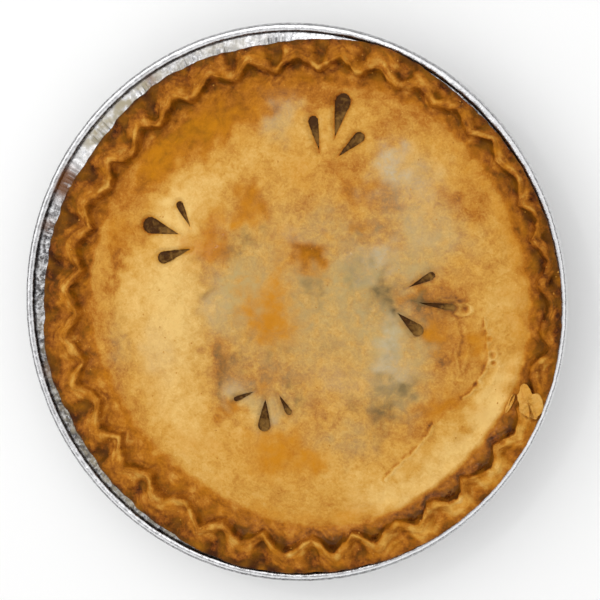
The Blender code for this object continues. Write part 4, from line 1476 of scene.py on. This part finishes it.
def pour_caramel(form, tree):
    """Sticky puddles that cling to the steep inner side of the rim's flutes."""
    builder = bmesh.new()
    for number, (degrees, inward, half_length, half_width) in enumerate(PUDDLES):
        puddle = spin_disc(PUDDLE_RINGS, PUDDLE_POINTS)
        direction = math.radians(degrees)
        _, _, _, crest, _ = form.along(form.turn_towards(direction))
        outward = Vector((math.cos(direction), math.sin(direction), 0.0))
        aside = Vector((-outward.y, outward.x, 0.0))
        centre = outward * (crest - inward * MM)
        level = surface_under(tree, centre.x, centre.y)[0].z
        rises = {}
        for vertex in puddle.verts:
            share = vertex.co.length / PUDDLE_RINGS
            ray = vertex.co.normalized()
            ragged = 1.0 + 0.5 * bumpiness(ray.x, ray.y, 0, 0.9, 90 + number)
            reach = share * MM * (ragged + 0.2 * bumpiness(ray.x, ray.y, 0, 0.35, number))
            place = centre + (aside * ray.x * half_length + outward * ray.y * half_width) * reach
            ground, _ = surface_under(tree, place.x, place.y)
            lumps = 0.5 * bumpiness(place.x, place.y, 0, 1.6 * MM, 95)
            place.z = min(ground.z, level + 1.1 * MM) - 0.25 * MM
            rises[vertex.index] = (0.55 * (1.0 - share ** 3) + lumps * (1.0 - share)) * MM
            vertex.co = place
        raise_upper_side(puddle, rises)
        join_into(builder, puddle)
    return builder


def raise_upper_side(sheet, rises):
    """Close a sheet with a copy of itself below, then raise its own points, one by one."""
    copied = bmesh.ops.duplicate(sheet, geom=sheet.faces[:])
    bmesh.ops.reverse_faces(sheet, faces=made_by(copied, bmesh.types.BMFace))
    bmesh.ops.bridge_loops(sheet, edges=open_edges(sheet))
    sheet.verts.ensure_lookup_table()
    for index, rise in rises.items():
        sheet.verts[index].co.z += rise
    bmesh.ops.recalc_face_normals(sheet, faces=sheet.faces[:])


def surface_under(tree, x, y):
    """Highest point of the crust at a place, and the surface's direction there."""
    place, normal, _, _ = tree.ray_cast(Vector((x, y, 0.06)), Vector((0, 0, -1)))
    return place, normal


def break_off_flake(tree, size, lobes, seed):
    """A torn scrap of pastry with a ragged outline, laid over what is below it."""
    centre, half_length, half_width, turn, thickness = size
    flake = spin_disc(FLAKE_RINGS, FLAKE_POINTS)
    angle = math.radians(turn)
    for vertex in flake.verts:
        share = vertex.co.length / FLAKE_RINGS
        ray = vertex.co.normalized()
        torn = 1.0 + around(lobes, math.degrees(math.atan2(ray.y, ray.x)))
        torn += 0.10 * bumpiness(ray.x, ray.y, 0, 0.5, seed)
        torn += 0.07 * bumpiness(ray.x, ray.y, 0, 0.2, seed + 1)
        along, across = ray.x * share * torn * half_length, ray.y * share * torn * half_width
        x = centre[0] + along * math.cos(angle) - across * math.sin(angle)
        y = centre[1] + along * math.sin(angle) + across * math.cos(angle)
        vertex.co = (x, y, share)
    grounds = {}
    for vertex in flake.verts:
        place, _ = surface_under(tree, *vertex.co.xy)
        grounds[vertex] = place.z if place and place.z > MOAT_HEIGHT - MM else HOLLOW_HEIGHT
    level = sorted(grounds.values())[int(len(grounds) * 0.7)]
    rises = {}
    for vertex, ground in grounds.items():
        x, y, share = vertex.co
        lumps = MM * layered_noise(x, y, ((0.8, 5, seed), (0.15, 2.2, seed + 2)))
        thick = thickness * (1.0 - 0.45 * share ** 4)
        vertex.co.z = max(mix(level, ground, 0.45), ground) + 0.1 * MM
        rises[vertex.index] = max(thick + lumps, 0.35 * MM)
    raise_upper_side(flake, rises)
    return flake


def scatter_crumbs(tree, count):
    """Small crumbs that stick to the lid and lie in the flutes."""
    draw = random.Random(CRUMB_SEED)
    builder = bmesh.new()
    centre_x, centre_y, _ = MOAT_CIRCLE
    for _ in range(count):
        angle = draw.uniform(0, FULL_TURN)
        on_rim = draw.random() < CRUMBS_ON_RIM
        reach = draw.uniform(*RIM_CRUMBS) if on_rim else LID_CRUMBS * math.sqrt(draw.random())
        x, y = centre_x + reach * math.cos(angle), centre_y + reach * math.sin(angle)
        size = draw.uniform(0.15, 0.45) * MM
        stretch_by = Vector([size * draw.uniform(0.6, 1.4) for _ in range(3)])
        turn = draw.uniform(0, FULL_TURN)
        place, normal = surface_under(tree, x, y)
        if place is None or place.z < MOAT_HEIGHT or beyond_slits(x, y) < MM:
            continue
        stand = normal.to_track_quat('Z', 'Y').to_matrix().to_4x4()
        stand.translation = place - normal * size * 0.2
        shape = Matrix.Rotation(turn, 4, 'Z') @ Matrix.Diagonal((*stretch_by, 1.0))
        bmesh.ops.create_icosphere(builder, subdivisions=1, radius=1.0, matrix=stand @ shape)
    return builder


# ------------------------------------------------------------ operators

def settings():
    return bpy.context.scene.peach_pie


def crust_tree():
    """The finished crust as a tree that rays can be cast at."""
    crust = bpy.data.objects.get("baked_crust")
    if crust is None:
        raise RuntimeError("bake the crust before anything is laid on it")
    builder = bmesh.new()
    builder.from_mesh(crust.data)
    tree = BVHTree.FromBMesh(builder)
    builder.free()
    return tree


class PressTin(bpy.types.Operator):
    """Press the foil tin with its folds, flange and rolled bead"""
    bl_idname = "peach_pie.press_tin"
    bl_label = "Press the Tin"

    def execute(self, context):
        look = settings().tin
        tin = new_object("pressed_tin", press_tin(look), foil_material(look))
        smooth_shade(tin.data, 32)
        keep_residue_and_painted_dark(tin.data, look)
        finish_piece(tin, "foil", "foil_tin")
        return {'FINISHED'}


class BakeCrust(bpy.types.Operator):
    """Shape the crust with its lid, slits and fluted rim, and brown it"""
    bl_idname = "peach_pie.bake_crust"
    bl_label = "Bake the Crust"

    def execute(self, context):
        look = settings().pastry
        form = CrustForm(look)
        steps = FLUTES * look.steps_per_flute
        builder = bmesh.new()
        add_lid(builder, form, steps)
        rim = bmesh.new()
        add_rim(rim, form, steps)
        join_into(builder, rim)
        bmesh.ops.remove_doubles(builder, verts=builder.verts[:], dist=0.001 * MM)
        bmesh.ops.recalc_face_normals(builder, faces=builder.faces[:])
        faulty = [edge for edge in builder.edges if not edge.is_manifold]
        if faulty:
            raise RuntimeError(f"the crust isn't closed: {len(faulty)} faulty edges")
        crust = new_object("baked_crust", builder)
        cut_away(crust, make_hollow_cutter(), make_slit_cutters())
        soften_lips(crust.data, form)
        dress(crust, pastry_material(look))
        smooth_shade(crust.data, 50)
        keep_browning(crust.data, form)
        finish_piece(crust, "pastry", "pie_crust")
        return {'FINISHED'}


class FillSlits(bpy.types.Operator):
    """Finish the peach filling and let its juice stand in the slits"""
    bl_idname = "peach_pie.fill_slits"
    bl_label = "Fill the Slits"

    def execute(self, context):
        look = settings().filling
        form = CrustForm(settings().pastry)
        fruit = juice_material(look, "cooked peach", look.fruit_colour, look.juice_colour, 0.2)
        dress(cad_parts["peach_filling"], fruit)
        material = juice_material(look, "slit juice", look.juice_colour, look.dark_juice_colour, 0.34)
        juice = new_object("slit_juice", pour_slit_juice(form), material)
        keep_juice_shade(juice.data)
        smooth_shade(juice.data, 50)
        finish_piece(juice, "filling")
        return {'FINISHED'}


class PourCaramel(bpy.types.Operator):
    """Let boiled-down juice gather in the hollows of the rim"""
    bl_idname = "peach_pie.pour_caramel"
    bl_label = "Pour the Caramel"

    def execute(self, context):
        look = settings()
        form = CrustForm(look.pastry)
        thin, thick = look.filling.thin_caramel_colour, look.pastry.caramel_colour
        material = juice_material(look.filling, "caramel", thin, thick, 0.18)
        caramel = new_object("rim_caramel", pour_caramel(form, crust_tree()), material)
        smooth_shade(caramel.data, 60)
        finish_piece(caramel, "filling")
        return {'FINISHED'}


class LayFlakes(bpy.types.Operator):
    """Lay a broken-off flake and a sliver of pastry on the rim, and scatter crumbs"""
    bl_idname = "peach_pie.lay_flakes"
    bl_label = "Lay Flakes and Crumbs"

    def execute(self, context):
        look = settings().pastry
        tree = crust_tree()
        pale = loose_pastry_material(look, "pale flake", 0.36, 0.20)
        flake = new_object("pastry_flake", break_off_flake(tree, FLAKE, FLAKE_LOBES, FLAKE_SEED), pale)
        sliver = new_object(
            "pastry_sliver", break_off_flake(tree, SLIVER, SLIVER_LOBES, SLIVER_SEED), pale)
        material = loose_pastry_material(look, "crumb", 0.48, 0.05)
        crumbs = new_object("loose_crumbs", scatter_crumbs(tree, settings().filling.crumbs), material)
        for piece in (flake, sliver, crumbs):
            smooth_shade(piece.data, 60)
            finish_piece(piece, "pastry")
        return {'FINISHED'}


class SetStudio(bpy.types.Operator):
    """Set the floor, the soft light and the camera"""
    bl_idname = "peach_pie.set_studio"
    bl_label = "Set the Studio"

    def execute(self, context):
        look = settings().studio
        builder = bmesh.new()
        bmesh.ops.create_grid(builder, x_segments=2, y_segments=2, size=FLOOR_HALF_SIZE)
        paper, _, _ = new_material("studio paper", Roughness=0.9, Base_Color=solid(look.floor_colour))
        floor = new_object("studio_floor", builder, paper)
        self.hang_lamp("key_light", look.key_power, KEY_PLACE, KEY_WIDTH)
        self.hang_lamp("sparkle_light", look.sparkle_power, SPARKLE_PLACE, SPARKLE_WIDTH)
        self.light_sky(look)
        self.place_camera(look)
        context.scene.view_settings.view_transform = 'Standard'
        return {'FINISHED'}

    @staticmethod
    def hang_lamp(name, power, place, width):
        """A round lamp that points at the middle of the pie."""
        light = bpy.data.lights.new(name, 'AREA')
        light.energy, light.shape, light.size = power, 'DISK', width
        lamp = new_object(name, light)
        lamp.location = place
        aim = Vector((0.0, 0.0, MOAT_HEIGHT)) - lamp.location
        lamp.rotation_euler = aim.to_track_quat('-Z', 'Y').to_euler()

    @staticmethod
    def light_sky(look):
        """A bright belt of soft light with a darker top and horizon, white where it is seen."""
        world = bpy.data.worlds.new("soft sky")
        bpy.context.scene.world = world
        world.use_nodes = True
        tree = world.node_tree
        direction = add_node(tree, 'ShaderNodeTexCoord').outputs["Generated"]
        up = add_node(tree, 'ShaderNodeSeparateXYZ', {0: direction}).outputs["Z"]
        belt = [(position, (grey, grey, grey)) for position, grey in SKY_BELT]
        glow = colour_ramp(tree, up, (0.0, HORIZON_COLOUR), *belt, (1.0, TOP_COLOUR))
        seen = add_node(tree, 'ShaderNodeLightPath').outputs["Is Camera Ray"]
        feed(tree, tree.nodes["Background"], {
            "Color": blend_colours(tree, seen, glow, solid((1.0, 1.0, 1.0))),
            "Strength": look.sky_strength})

    @staticmethod
    def place_camera(look):
        lens = bpy.data.cameras.new("camera")
        lens.lens = look.lens
        lens.sensor_width = SENSOR_WIDTH
        lens.clip_start = 0.01
        camera = new_object("camera", lens)
        towards = Vector((
            math.sin(look.tilt) * math.cos(look.turn),
            math.sin(look.tilt) * math.sin(look.turn),
            math.cos(look.tilt)))
        right = Vector((0, 1, 0)).cross(towards).normalized()
        upwards = towards.cross(right)
        stand = Matrix((right, upwards, towards)).transposed().to_4x4()
        stand.translation = Vector(VIEW_CENTRE) + look.distance * towards
        camera.matrix_world = stand
        bpy.context.scene.camera = camera


class PeachPieSettings(bpy.types.PropertyGroup):
    """All settings of the pie."""
    tin: PointerProperty(type=TinSettings)
    pastry: PointerProperty(type=PastrySettings)
    filling: PointerProperty(type=FillingSettings)
    studio: PointerProperty(type=StudioSettings)


class PeachPiePanel(bpy.types.Panel):
    """Steps of making the pie, in order, with their settings"""
    bl_idname = "VIEW3D_PT_peach_pie"
    bl_label = "Peach Pie"
    bl_space_type = 'VIEW_3D'
    bl_region_type = 'UI'
    bl_category = "Peach Pie"

    def draw(self, context):
        look = context.scene.peach_pie
        groups = {"tin": look.tin, "pastry": look.pastry, "filling": look.filling, "studio": look.studio}
        for operator in OPERATORS:
            self.layout.operator(operator.bl_idname)
        for title, group in groups.items():
            box = self.layout.box()
            box.label(text=title.capitalize())
            for name in group.__annotations__:
                box.prop(group, name)


OPERATORS = (PressTin, BakeCrust, FillSlits, PourCaramel, LayFlakes, SetStudio)
CLASSES = (
    TinSettings, PastrySettings, FillingSettings, StudioSettings, PeachPieSettings,
    *OPERATORS, PeachPiePanel,
)


def register():
    for item in CLASSES:
        bpy.utils.register_class(item)
    bpy.types.Scene.peach_pie = PointerProperty(type=PeachPieSettings)


def unregister():
    del bpy.types.Scene.peach_pie
    for item in reversed(CLASSES):
        bpy.utils.unregister_class(item)


def main():
    register()
    for operator in OPERATORS:
        group, name = operator.bl_idname.split(".")
        getattr(getattr(bpy.ops, group), name)()


if __name__ == "__main__":
    main()
